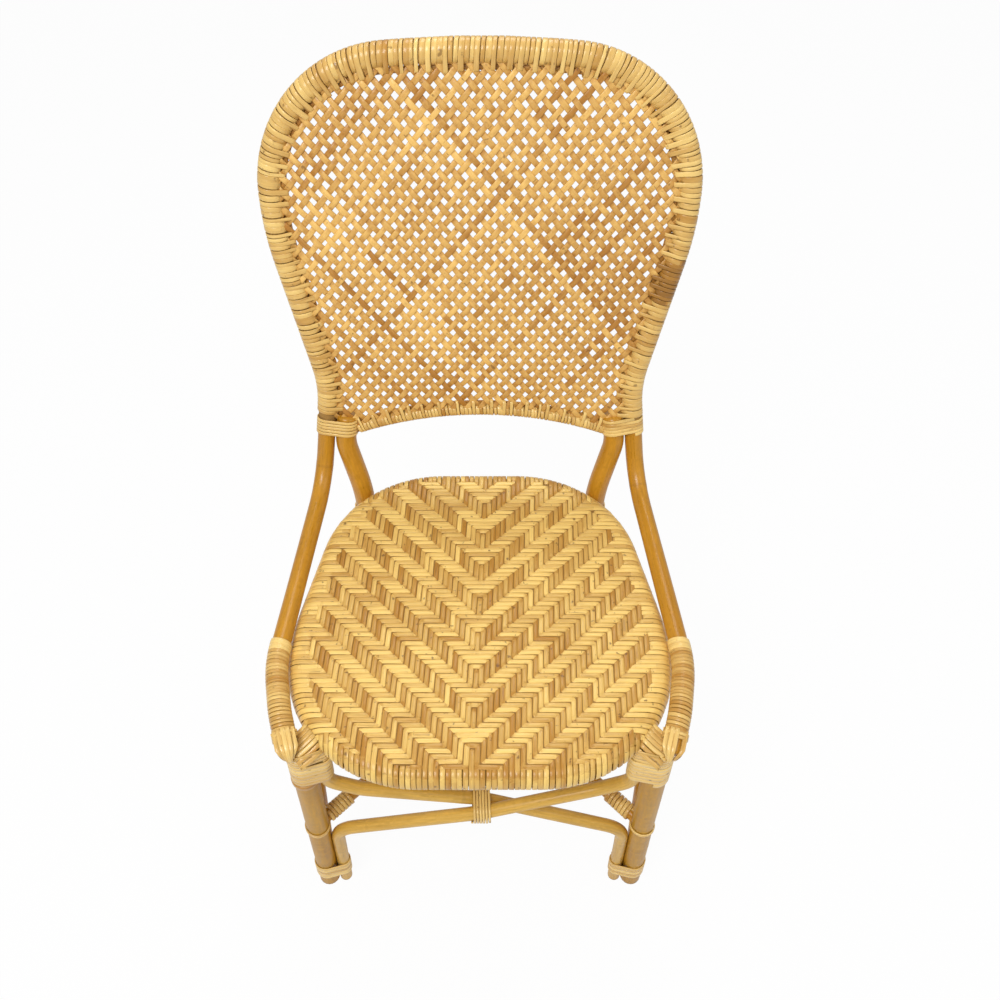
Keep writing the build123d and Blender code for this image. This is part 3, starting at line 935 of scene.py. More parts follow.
def rattan_group() -> bpy.types.NodeTree:
    """Makes, once, the node group that gives rattan its colour, roughness and relief.

    Returns:
        The node group.
    """
    name = "Rattan Surface"
    if name in bpy.data.node_groups:
        return bpy.data.node_groups[name]
    tree = bpy.data.node_groups.new(name, "ShaderNodeTree")
    build = GroupBuilder(tree)
    build.sockets("INPUT", "Vector", "Strand", "Place")
    build.sockets("INPUT", "Color", "Pale", "Deep", "Stain")
    build.sockets("INPUT", "Float", "Tone", "Tone Range", "Streak Length", "Streak Width", "Grain", "Speck")
    build.sockets("INPUT", "Float", "Joints", "Edge", "Base Roughness")
    build.sockets("OUTPUT", "Color", "Color")
    build.sockets("OUTPUT", "Float", "Roughness", "Height")
    source = build.node("NodeGroupInput")
    result = build.node("NodeGroupOutput")

    # Streaks along the strip, drawn out by a stretched strand map
    split = build.node("ShaderNodeSeparateXYZ", Vector=source.outputs["Strand"])
    across = build.math("MULTIPLY", split.outputs["X"], source.outputs["Streak Width"])
    along = build.math("MULTIPLY", split.outputs["Y"], source.outputs["Streak Length"])
    tone_shift = build.math("MULTIPLY", source.outputs["Tone"], 7.3)
    streak_place = build.node("ShaderNodeCombineXYZ", X=across, Y=along, Z=tone_shift)
    streaks = build.noise(streak_place.outputs["Vector"], 1.0, 4.0, 0.62)
    fibre_across = build.math("MULTIPLY", split.outputs["X"], 26.0)
    fibre_along = build.math("MULTIPLY", split.outputs["Y"], 34.0)
    fibre_place = build.node("ShaderNodeCombineXYZ", X=fibre_across, Y=fibre_along, Z=tone_shift)
    fibres = build.noise(fibre_place.outputs["Vector"], 1.0, 3.0, 0.6)
    patches = build.noise(source.outputs["Place"], 9.0, 2.0, 0.5)

    # Tone, streaks and broad patches pick between pale and deep; the tone is a turn's own, with painted
    # shade added on cane and seat strands and painted light on the seat's rolled edge
    tone_part = build.math("SUBTRACT", source.outputs["Tone"], 0.5)
    spread = build.math("MULTIPLY", tone_part, source.outputs["Tone Range"])
    streak_part = build.math("MULTIPLY", build.math("SUBTRACT", streaks, 0.5), 1.3)
    patch_part = build.math("MULTIPLY", build.math("SUBTRACT", patches, 0.5), 0.7)
    mixed = build.math("ADD", build.math("ADD", spread, streak_part), build.math("ADD", patch_part, 0.45))
    base = build.blend(mixed, source.outputs["Pale"], source.outputs["Deep"])
    fibre_part = build.math("MULTIPLY", build.math("SUBTRACT", fibres, 0.5), source.outputs["Grain"])
    fibre_light = build.math("ADD", build.math("MULTIPLY", fibre_part, 1.6), 1.0)
    grained = build.node("ShaderNodeVectorMath", operation="SCALE", Vector=base, Scale=fibre_light)

    # Dark specks, short stained lengths and joints, and painted shade along the sides of each strip
    speck_across = build.math("MULTIPLY", split.outputs["X"], 2.6)
    speck_along = build.math("MULTIPLY", split.outputs["Y"], 120.0)
    speck_place = build.node("ShaderNodeCombineXYZ", X=speck_across, Y=speck_along, Z=tone_shift)
    speck_noise = build.noise(speck_place.outputs["Vector"], 1.0, 2.0, 0.5)
    speck_mask = build.ramp(speck_noise, 0.66, 0.74)
    stain_mask = build.ramp(streaks, 0.63, 0.78)
    stains_and_painted_shade = build.math("MAXIMUM", speck_mask, build.math("MULTIPLY", stain_mask, 0.8))
    stains_and_painted_shade = build.math("MULTIPLY", stains_and_painted_shade, source.outputs["Speck"])
    joint = build.math("PINGPONG", split.outputs["Y"], 0.13)
    joint_line = build.ramp(joint, 0.0034, 0.0006)
    joint_mask = build.math("MULTIPLY", joint_line, source.outputs["Joints"])
    stains_and_painted_shade = build.math("MAXIMUM", stains_and_painted_shade, joint_mask)
    stains_and_painted_shade = build.math("MAXIMUM", stains_and_painted_shade, build.ramp(source.outputs["Tone"], 1.1, 2.3))
    # Painted shade: each strip darkens towards its two sides, so the gaps between strips look dark
    from_middle = build.math("ABSOLUTE", build.math("SUBTRACT", split.outputs["X"], 0.4167))
    painted_edge_shade = build.math("MULTIPLY", build.ramp(from_middle, 0.27, 0.43), source.outputs["Edge"])
    stains_and_painted_shade = build.math("MAXIMUM", stains_and_painted_shade, painted_edge_shade)
    color = build.blend(stains_and_painted_shade, grained.outputs["Vector"], source.outputs["Stain"])
    rough = build.math("ADD", source.outputs["Base Roughness"], build.math("MULTIPLY", fibre_part, 0.6))
    height = build.math("SUBTRACT", build.math("ADD", fibres, build.math("MULTIPLY", streaks, 0.6)), stains_and_painted_shade)
    build.join(color, result.inputs["Color"])
    build.join(rough, result.inputs["Roughness"])
    build.join(height, result.inputs["Height"])
    return tree


@dataclass
class GroupBuilder:
    """Short calls that add nodes to a tree and join them."""

    tree: bpy.types.NodeTree

    def sockets(self, way: str, kind: str, *names: str) -> None:
        """Adds named inputs or outputs of one kind to the group."""
        for name in names:
            self.tree.interface.new_socket(name, in_out=way, socket_type=f"NodeSocket{kind}")

    def join(self, value: bpy.types.NodeSocket, socket: bpy.types.NodeSocket) -> None:
        """Joins an output to an input."""
        self.tree.links.new(value, socket)

    def node(self, kind: str, operation: str = "", **inputs: object) -> bpy.types.Node:
        """Adds a node and joins or sets its named inputs.

        Args:
            kind: Blender's name of the node.
            operation: Operation of a maths node.
            inputs: Sockets to join or values to set, by input name.

        Returns:
            The node.
        """
        node = self.tree.nodes.new(kind)
        if operation:
            node.operation = operation
        for key, value in inputs.items():
            if isinstance(value, bpy.types.NodeSocket):
                self.tree.links.new(value, node.inputs[key])
            else:
                node.inputs[key].default_value = value
        return node

    def math(self, operation: str, first: object, second: object = 0.0) -> bpy.types.NodeSocket:
        """Adds a maths node on two values and returns its output."""
        node = self.tree.nodes.new("ShaderNodeMath")
        node.operation = operation
        for socket, value in zip(node.inputs, (first, second)):
            if isinstance(value, bpy.types.NodeSocket):
                self.tree.links.new(value, socket)
            else:
                socket.default_value = value
        return node.outputs["Value"]

    def noise(
        self, place: bpy.types.NodeSocket, scale: float, detail: float, rough: float
    ) -> bpy.types.NodeSocket:
        """Adds a noise texture and returns its value."""
        node = self.node("ShaderNodeTexNoise", Vector=place, Scale=scale, Detail=detail, Roughness=rough)
        return node.outputs["Fac"]

    def ramp(self, value: bpy.types.NodeSocket, low: float, high: float) -> bpy.types.NodeSocket:
        """Adds a smooth step from 0 at low to 1 at high and returns it."""
        node = self.tree.nodes.new("ShaderNodeMapRange")
        node.interpolation_type = "SMOOTHSTEP"
        self.tree.links.new(value, node.inputs["Value"])
        node.inputs["From Min"].default_value = low
        node.inputs["From Max"].default_value = high
        return node.outputs["Result"]

    def blend(
        self, factor: bpy.types.NodeSocket, first: bpy.types.NodeSocket, second: bpy.types.NodeSocket
    ) -> bpy.types.NodeSocket:
        """Adds a clamped colour mix and returns its colour."""
        node = self.tree.nodes.new("ShaderNodeMix")
        node.data_type = "RGBA"
        node.clamp_factor = True
        self.tree.links.new(factor, node.inputs[0])
        self.tree.links.new(first, node.inputs[6])
        self.tree.links.new(second, node.inputs[7])
        return node.outputs[2]


@dataclass
class Finishes:
    """The chair's materials, made once."""

    peel: bpy.types.Material = field(init=False)
    cane: bpy.types.Material = field(init=False)
    seat: bpy.types.Material = field(init=False)
    shade: bpy.types.Material = field(init=False)
    brown_pole: bpy.types.Material = field(init=False)
    pale_pole: bpy.types.Material = field(init=False)
    crossing_pole: bpy.types.Material = field(init=False)

    def __post_init__(self) -> None:
        """Builds every finish."""
        pole = {"streak_length": 5.0, "streak_width": 9.0, "tone_range": 0.3}
        # The edge values paint shade along the sides of the peel, cane and seat strips
        self.peel = RattanFinish(
            "Wound Peel", (0.90, 0.625, 0.21), (0.50, 0.24, 0.04), speck=0.6, edge=0.42, roughness=0.29,
        ).build()
        self.cane = RattanFinish(
            "Cane Strand", (0.88, 0.545, 0.155), (0.46, 0.2, 0.03),
            streak_length=11.0, speck=0.6, edge=0.4, roughness=0.42,
        ).build()
        self.seat = RattanFinish(
            "Woven Strand", (0.90, 0.615, 0.18), (0.47, 0.22, 0.03),
            streak_length=14.0, speck=0.75, edge=0.22, roughness=0.36,
        ).build()
        # Painted shade: a flat dark brown for hidden poles and the sheet under the seat, so the gaps
        # between strips look shaded
        self.shade = RattanFinish(
            "Painted Shade", (0.38, 0.21, 0.055), (0.24, 0.115, 0.025), roughness=0.8, coat=0.0,
        ).build()
        self.brown_pole = RattanFinish(
            "Brown Pole", (0.60, 0.28, 0.018), (0.38, 0.155, 0.008),
            joints=0.15, speck=0.08, grain=0.35, roughness=0.3, coat=0.1, **pole,
        ).build()
        self.crossing_pole = RattanFinish(
            "Crossing Pole", (0.74, 0.45, 0.085), (0.48, 0.25, 0.03),
            joints=0.1, speck=0.05, grain=0.4, roughness=0.34, **pole,
        ).build()
        self.pale_pole = RattanFinish(
            "Pale Pole", (0.56, 0.29, 0.014), (0.35, 0.15, 0.006),
            joints=0.1, speck=0.05, grain=0.4, roughness=0.36, coat=0.04, **pole,
        ).build()


@dataclass
class Back:
    """The hoop with its wound peel, the bottom rail and the open cane panel."""

    layout: Layout
    finishes: Finishes
    strip_width: float = 5.5
    strip_lift: float = 0.5
    turn_reach: float = 16.0
    rail_strip_width: float = 4.2
    cane_angle: float = 49
    cane_pitch: float = 11.9
    cane_width: float = 6.8
    cane_thickness: float = 1.6
    cane_forward: float = 4.2
    cane_wave: float = 1.0
    panel_middle: float = 330
    stained_from: float = 272
    stained_to: float = 320
    strand_count: int = 44
    shortest_strand: float = 26
    strand_tuck: float = 4
    stain_share: float = 0.14
    stain_spread: float = 230
    run_shift: float = 531
    edge_strand_width: float = 6.0
    hoop_edge_inset: float = 15.5
    rail_edge_inset: float = 9.5

    def build(self) -> None:
        """Builds every piece of the back."""
        layout = self.layout
        joint = layout.back_corner_height + layout.corner_binding_height / 2
        pole = Workpiece("back_hoop_pole")
        stations = pole_stations(layout.hoop_route(joint), layout.hoop_pole_radius, Seed.HOOP_POLE)
        pole.lay(stations, Shape.POLE)
        # The hidden hoop pole takes the painted shade finish, so the gaps between the turns of peel look
        # dark
        pole.finish(self.finishes.shade, "brown_pole", "back_hoop")
        self._wrap()
        self._bottom_rail()
        self._panel()

    def _wrap(self) -> None:
        """Winds the peel round the hoop, every second or third turn over the panel's edge too."""
        layout = self.layout
        route = layout.hoop_route(layout.binding_top + layout.fit_gap)
        thickness = layout.hoop_wrap_thickness - self.strip_lift
        strip = Winding(
            layout.wrap_radius + self.strip_lift, thickness, self.strip_width, spread=0.26, gap=0.14,
            wide_share=0.08, tone=0.45, tone_spread=0.36, reach=self.turn_reach,
        )
        wrap = Workpiece("back_hoop_peel")
        middle = layout.on_back(0, self.panel_middle)
        low, high = layout.on_back(0, self.stained_from).z, layout.on_back(0, self.stained_to).z
        stations = [
            station._replace(tone=1.3 + 0.7 * station.tone)
            if station.place.x > 0 and low < station.place.z < high
            else station
            for station in strip.round_route(route, 0.0, route.length, Seed.HOOP_WRAP, middle)
        ]
        wrap.lay(stations, Shape.PEEL)
        wrap.finish(self.finishes.peel, "peel", "back_hoop_wrap")

    def _bottom_rail(self) -> None:
        """Makes the arched bottom rail and winds its peel."""
        layout = self.layout
        route = layout.bottom_rail_route()
        pole = Workpiece("bottom_rail_pole")
        pole.lay(pole_stations(route, layout.bottom_rail_radius, Seed.BOTTOM_RAIL_POLE), Shape.POLE)
        # The hidden rail pole takes the painted shade finish, so the gaps between the turns of peel look
        # dark
        pole.finish(self.finishes.shade, "brown_pole", "back_bottom_rail")
        radius = layout.bottom_rail_radius + layout.fit_gap
        strip = Winding(
            radius, layout.bottom_rail_wrap_thickness, self.rail_strip_width, gap=0.3, steps=12,
            wide_share=0.06, tone=0.35, tone_spread=0.4, reach=12.0, most_shorts=4,
        )
        wrap = Workpiece("bottom_rail_peel")
        margin = layout.rear_leg_radius + 2.0
        middle = layout.on_back(0, self.panel_middle)
        stations = strip.round_route(route, margin, route.length - margin, Seed.BOTTOM_RAIL_WRAP, middle)
        wrap.lay(stations, Shape.PEEL)
        wrap.finish(self.finishes.peel, "peel", "back_bottom_rail_wrap")

    def _opening(self) -> list[tuple[float, float]]:
        """Outline that the cane strands reach, in the back's plane."""
        layout = self.layout
        end = layout.rail_end
        hoop, rail = layout.hoop_route(end[1]).places, layout.bottom_rail_route().places
        offsets = [place - layout.on_back(0, 0) for place in (*hoop, *reversed(rail))]
        return [(offset.x, offset.dot(layout.back_up)) for offset in offsets]

    @staticmethod
    def _crossings(outline: Sequence[tuple[float, float]], start: Vector, along: Vector) -> list[float]:
        """Distances along a line where it crosses the outline."""
        found = []
        for (ax, ay), (bx, by) in zip(outline, list(outline[1:]) + [outline[0]]):
            side_a = (ax - start.x) * along.y - (ay - start.y) * along.x
            side_b = (bx - start.x) * along.y - (by - start.y) * along.x
            if side_a * side_b < 0:
                share = side_a / (side_a - side_b)
                x, y = ax + (bx - ax) * share, ay + (by - ay) * share
                found.append((x - start.x) * along.x + (y - start.y) * along.y)
        return sorted(found)

    def _panel(self) -> None:
        """Weaves the two layers of strands over and under each other."""
        outline = self._opening()
        rng = random.Random(Seed.CANE)
        for layer, name in enumerate(("rising", "falling")):
            angle = math.radians(self.cane_angle) * (-1 if layer else 1)
            along = Vector((math.cos(angle), math.sin(angle), 0))
            across = Vector((-along.y, along.x, 0))
            piece = Workpiece(f"cane_strands_{name}_woven")
            for strand in range(-self.strand_count, self.strand_count + 1):
                shift = strand * self.cane_pitch + rng.uniform(-0.6, 0.6)
                start = across * shift + Vector((0, self.panel_middle, 0))
                ends = self._crossings(outline, start, along)
                tone = min(max(rng.gauss(0.4, 0.18), 0.0), 1.0)
                stained = rng.random() < self.stain_share
                stain = rng.uniform(-self.stain_spread, self.stain_spread) if stained else FAR
                stain_length = rng.uniform(25, 80)
                width = self.cane_width * rng.uniform(0.9, 1.06)
                for low, high in zip(ends[::2], ends[1::2]):
                    if high - low > self.shortest_strand:
                        reach = (low + self.strand_tuck, high - self.strand_tuck)
                        laid = []
                        for station in self._strand(start, along, across, reach, layer, strand):
                            in_stain = abs(station.run - strand * self.run_shift - stain) < stain_length
                            # Painted shade from the dips is added to the strand's own tone; a stained
                            # length is deep all along
                            shade = 1.0 if in_stain else min(station.tone + tone, 1.0)
                            laid.append(station._replace(width=width, tone=shade))
                        piece.lay(laid, Shape.PEEL)
            if layer:
                self._edge_strands(piece)
            piece.finish(self.finishes.cane, "cane", f"cane_strands_{name}")

    def _edge_strands(self, piece: Workpiece) -> None:
        """Lays the strands that run round the panel's edge, behind the ends of the others, in the deepest
        tone as painted shade.
        """
        layout = self.layout
        middle = layout.on_back(0, self.panel_middle)
        edges = (
            (layout.hoop_route(layout.binding_top), self.hoop_edge_inset),
            (layout.bottom_rail_route(), self.rail_edge_inset),
        )
        for route, inset in edges:
            stations = []
            for place, along, out, run in zip(route.places, route.alongs, route.outs, route.runs):
                inward = along.cross(out)
                if inward.dot(middle - place) < 0:
                    inward = -inward
                spot = place + inward * inset + out * (self.cane_forward - 3.0)
                # Tone 1.0 is painted shade between the drawn-out turns
                stations.append(Station(spot, inward, out, run, self.edge_strand_width, 1.2, 1.0))
            piece.lay(stations, Shape.PEEL)

    def _strand(
        self, start: Vector, along: Vector, across: Vector, reach: tuple[float, float], layer: int,
        strand: int,
    ) -> list[Station]:
        """Stations of one strand, over every second strand of the other layer.

        Args:
            start: Point that distances along the strand are measured from, in the back's plane.
            along: Direction of the strand in the back's plane.
            across: Direction square to it in the back's plane.
            reach: Distances of the strand's two ends.
            layer: Number of the layer.
            strand: Number of the strand in its layer.

        Returns:
            Stations with the cane's width, whose tone is painted shade where the strand dips under the
            other layer.
        """
        layout = self.layout
        pitch = self.cane_pitch / math.sin(2 * math.radians(self.cane_angle))
        side = (RIGHTWARD * across.x + layout.back_up * across.y).normalized()
        ahead = (RIGHTWARD * along.x + layout.back_up * along.y).normalized()
        steps = max(4, round((reach[1] - reach[0]) / (pitch / 4)))
        stations = []
        sway = random.Random(strand * 7 + layer)
        sway_size, sway_phase = sway.uniform(0.2, 0.9), sway.uniform(0, math.tau)
        for step in range(steps + 1):
            run = reach[0] + (reach[1] - reach[0]) * step / steps
            flat = start + along * run
            phase = math.pi * (self._other_index(flat, layer) + strand + layer)
            lift = self.cane_forward + self.cane_wave * math.cos(phase)
            slope = -self.cane_wave * math.sin(phase) * math.pi / pitch
            bend = sway_size * math.sin(run / 90 + sway_phase)
            place = layout.on_back(flat.x, flat.y, lift) + side * bend
            out = (layout.back_out - ahead * slope).normalized()
            # Painted shade: the strand is darker where it dips under the other layer
            shade = 0.16 * (1 - math.cos(phase))
            shifted = run + strand * self.run_shift
            stations.append(Station(place, side, out, shifted, self.cane_width, self.cane_thickness, shade))
        return stations

    def _other_index(self, flat: Vector, layer: int) -> float:
        """Place of a point among the strands of the other layer, in strands."""
        angle = math.radians(self.cane_angle) * (-1 if layer == 0 else 1)
        across = Vector((-math.sin(angle), math.cos(angle), 0))
        return (flat - Vector((0, self.panel_middle, 0))).dot(across) / self.cane_pitch


@dataclass
class Seat:
    """The seat ring, the slats and the herringbone weave that rolls over the ring."""

    layout: Layout
    finishes: Finishes
    column_pitch: float = 6.1
    row_pitch: float = 5.96
    first_row: float = -11.0
    slant: float = 0.043
    slant_from: float = 18.0
    strand_width: float = 5.85
    thickness: float = 1.2
    lift: float = 0.8
    repeat: int = 8
    strand_count: int = 39
    shortest_strand: float = 24
    run_shift: float = 377
    tone_spread: float = 0.2
    tint: float = 0.27

    def __post_init__(self) -> None:
        """Samples the line where the flat of the seat meets its rolled edge."""
        self.edge = self.layout.seat_outline(self.layout.seat_edge_radius, 2.0)

    def build(self) -> None:
        """Builds every piece of the seat."""
        layout = self.layout
        ring = Workpiece("seat_ring_pole")
        outline = layout.seat_outline(layout.seat_edge_radius)
        places = [Vector((place.x, place.y + layout.seat_y, layout.ring_height)) for place, _ in outline]
        route = Route.along(places + [places[0]], UP)
        radius = layout.seat_edge_radius - layout.weave_thickness - layout.fit_gap
        ring.lay(pole_stations(route, radius * 0.98, Seed.SEAT_RING), Shape.POLE)
        ring.finish(self.finishes.pale_pole, "pale_pole", "seat_ring")
        for lengthwise in (True, False):
            self._weave(lengthwise)
        self._painted_shade_sheet()
        self._slats()

    def _slats(self) -> None:
        """Gives the slats under the seat their finish."""
        node = bpy.data.objects["seat_slats"]
        node.data.materials.clear()
        node.data.materials.append(self.finishes.pale_pole)

    def _edge_distance(self, x: float, y: float) -> tuple[float, Vector]:
        """Signed distance outside the flat of the seat, and the outward direction there."""
        best, nearest = FAR, self.edge[0]
        for place, outward in self.edge:
            gap = (place.x - x) ** 2 + (place.y - y) ** 2
            if gap < best:
                best, nearest = gap, (place, outward)
        place, outward = nearest
        return (x - place.x) * outward.x + (y - place.y) * outward.y, outward

    def _crosswise_rim(self, spot: Vector) -> bool | None:
        """Whether the crosswise strands lie on top at the rim, or None away from it."""
        best, nearest = FAR, self.edge[0]
        for place, outward in self.edge[::4]:
            gap = (place.x - spot.x) ** 2 + (place.y - spot.y) ** 2
            if gap < best:
                best, nearest = gap, (place, outward)
        place, outward = nearest
        crosswise = abs(outward.x) > abs(outward.y)
        inset = (place.x - spot.x) * outward.x + (place.y - spot.y) * outward.y
        return crosswise if inset < (7.0 if crosswise else -1.0) else None

    def _ends(self, fixed: float, lengthwise: bool) -> tuple[float, float] | None:
        """Where a strand's line crosses the edge of the flat of the seat."""
        found = []
        outline = [place for place, _ in self.edge]
        for first, second in zip(outline, outline[1:] + outline[:1]):
            a = first.x - self._drift(first.y) if lengthwise else first.y
            b = second.x - self._drift(second.y) if lengthwise else second.y
            if (a - fixed) * (b - fixed) < 0:
                spot = first.lerp(second, (fixed - a) / (b - a))
                found.append(spot.y if lengthwise else spot.x)
        return (min(found), max(found)) if len(found) >= 2 else None

    def _drift(self, y: float) -> float:
        """How far the lengthwise strands have moved sideways at a place."""
        return self.slant * (y - self.slant_from)

    def _over(self, column: float, row: float, lengthwise: bool) -> float:
        """How far a strand is on top at a place in the herringbone, from -1 to 1."""
        step = (abs(column) + row) % self.repeat
        half = self.repeat / 2
        distance = min(step % half, half - step % half)
        top = 1.0 if (step < half) != lengthwise else -1.0
        return top * min(1.0, (distance + 0.15) * 1.3)

    def _weave(self, lengthwise: bool) -> None:
        """Lays all the strands that run one way.

        Args:
            lengthwise: True for the strands that run from front to back.
        """
        name = "lengthwise" if lengthwise else "crosswise"
        piece = Workpiece(f"seat_weave_{name}")
        rng = random.Random(Seed.SEAT + lengthwise)
        for strand in range(-self.strand_count, self.strand_count + 1):
            fixed = strand * self.column_pitch if lengthwise else self.first_row - strand * self.row_pitch
            ends = self._ends(fixed, lengthwise)
            tone = min(max(rng.gauss(0.66 if lengthwise else 0.24, self.tone_spread), 0.0), 1.0)
            width = self.strand_width * rng.uniform(0.94, 1.04)
            if ends and ends[1] - ends[0] >= self.shortest_strand:
                stations = self._strand(strand, fixed, ends, lengthwise, rng.uniform(-0.2, 0.2))
                laid = [
                    station._replace(width=width, tone=min(max(station.tone + tone, 0.0), 1.0))
                    for station in stations
                ]
                piece.lay(laid, Shape.PEEL)
        if lengthwise:
            piece.finish(self.finishes.seat, "seat_weave", "seat_weave")
        else:
            piece.finish(self.finishes.seat, "seat_weave")

    def _painted_shade_sheet(self) -> None:
        """Lays a dark sheet under the strands, painted shade that shows in the gaps between them."""
        layout = self.layout
        height = layout.ring_height + layout.seat_edge_radius - self.thickness - self.lift + 0.5
        places = [place.y for place, _ in self.edge]
        stations = []
        low, high = min(places) + 2, max(places) - 2
        for step in range(101):
            y = low + (high - low) * step / 100
            left, right = self._ends(y, False)
            middle = Vector(((left + right) / 2, y + layout.seat_y, height))
            stations.append(Station(middle, RIGHTWARD, UP, y, right - left + 6, 0.3, 0.5))
        piece = Workpiece("seat_weave_underlay")
        piece.lay(stations, Shape.PEEL)
        piece.finish(self.finishes.shade, "seat_weave")

    def _strand(
        self, strand: int, fixed: float, ends: tuple[float, float], lengthwise: bool, shift: float
    ) -> list[Station]:
        """Stations of one strand over the flat of the seat and round the roll at both ends.

        Args:
            strand: Number of the strand.
            fixed: Place of the strand across its run.
            ends: Where it meets the edge of the flat of the seat.
            lengthwise: True when it runs from front to back.
            shift: Distance that it is moved sideways.

        Returns:
            Stations with the strands' width, whose tone holds a random tint per float, painted shade where
            a strand dips under and painted light on the rolled edge.
        """
        layout = self.layout
        radius = layout.seat_edge_radius - self.thickness - self.lift
        side = RIGHTWARD if lengthwise else FORWARD
        stations: list[Station] = []
        for run, spot, normal in self._plan(ends, fixed, lengthwise, radius):
            column = strand if lengthwise else (spot.x - self._drift(spot.y)) / self.column_pitch
            row = (self.first_row - spot.y) / self.row_pitch if lengthwise else strand
            over = self._over(column, row, lengthwise)
            crosswise_rim = self._crosswise_rim(spot)
            if crosswise_rim is not None:
                over = -1.0 if crosswise_rim == lengthwise else 1.0
            float_number = int((abs(column) + row) // (self.repeat / 2))
            rng = random.Random(strand * 977 + float_number * 31 + lengthwise)
            tint = rng.uniform(-self.tint, self.tint)
            # Random tint per float, painted shade where the strand dips under, and painted light that makes
            # it paler on the rolled edge
            shade = tint + 0.2 * (1 - max(over, 0.0)) - (0.3 if normal.z < 0.8 else 0.0)
            sway = shift + 0.3 * math.sin(run / 19 + strand * 1.7)
            place = Vector((spot.x, spot.y + layout.seat_y, spot.z))
            place = place + normal * (over * self.lift) + side * sway
            tangent = (side - normal * side.dot(normal)).normalized()
            shifted = run + strand * self.run_shift
            stations.append(
                Station(place, tangent, normal, shifted, self.strand_width, self.thickness, shade)
            )
        return stations

    def _plan(
        self, ends: tuple[float, float], fixed: float, lengthwise: bool, radius: float
    ) -> list[tuple[float, Vector, Vector]]:
        """Run, place and normal of a strand's places on the seat's surface."""
        top = self.layout.ring_height + radius

        def spot(value: float) -> Vector:
            """Place on the flat of the seat at a distance along the strand's line."""
            if lengthwise:
                return Vector((fixed + self._drift(value), value, top))
            return Vector((value, fixed, top))

        low, high = ends
        first = self._roll(spot(low), lengthwise, -1, radius)
        last = self._roll(spot(high), lengthwise, 1, radius)
        count = max(2, round((high - low) / (self.row_pitch / 2)))
        flat = [(spot(low + (high - low) * part / count), UP.copy()) for part in range(count + 1)]
        chain = first[::-1] + flat + last
        plan: list[tuple[float, Vector, Vector]] = []
        run, previous = 0.0, chain[0][0]
        for place, normal in chain:
            run += (place - previous).length
            previous = place
            plan.append((run, place, normal))
        return plan

    def _roll(
        self, start: Vector, lengthwise: bool, way: int, radius: float
    ) -> list[tuple[Vector, Vector]]:
        """Places of a strand over the rolled edge, from the flat outwards and back under."""
        layout = self.layout
        direction = Vector((0, way, 0)) if lengthwise else Vector((way, 0, 0))
        _, outward = self._edge_distance(start.x, start.y)
        slant = outward.dot(direction)
        if slant < 0.3:
            return []
        places = []
        for degrees in range(12, 169, 12):
            angle = math.radians(degrees)
            reach = radius * math.sin(angle)
            spot = start + direction * (reach / slant)
            gap, normal_flat = self._edge_distance(spot.x, spot.y)
            spot = spot + normal_flat * (reach - gap)
            spot.z = layout.ring_height + radius * math.cos(angle)
            normal = normal_flat * math.sin(angle) + UP * math.cos(angle)
            places.append((spot, normal.normalized()))
        return places


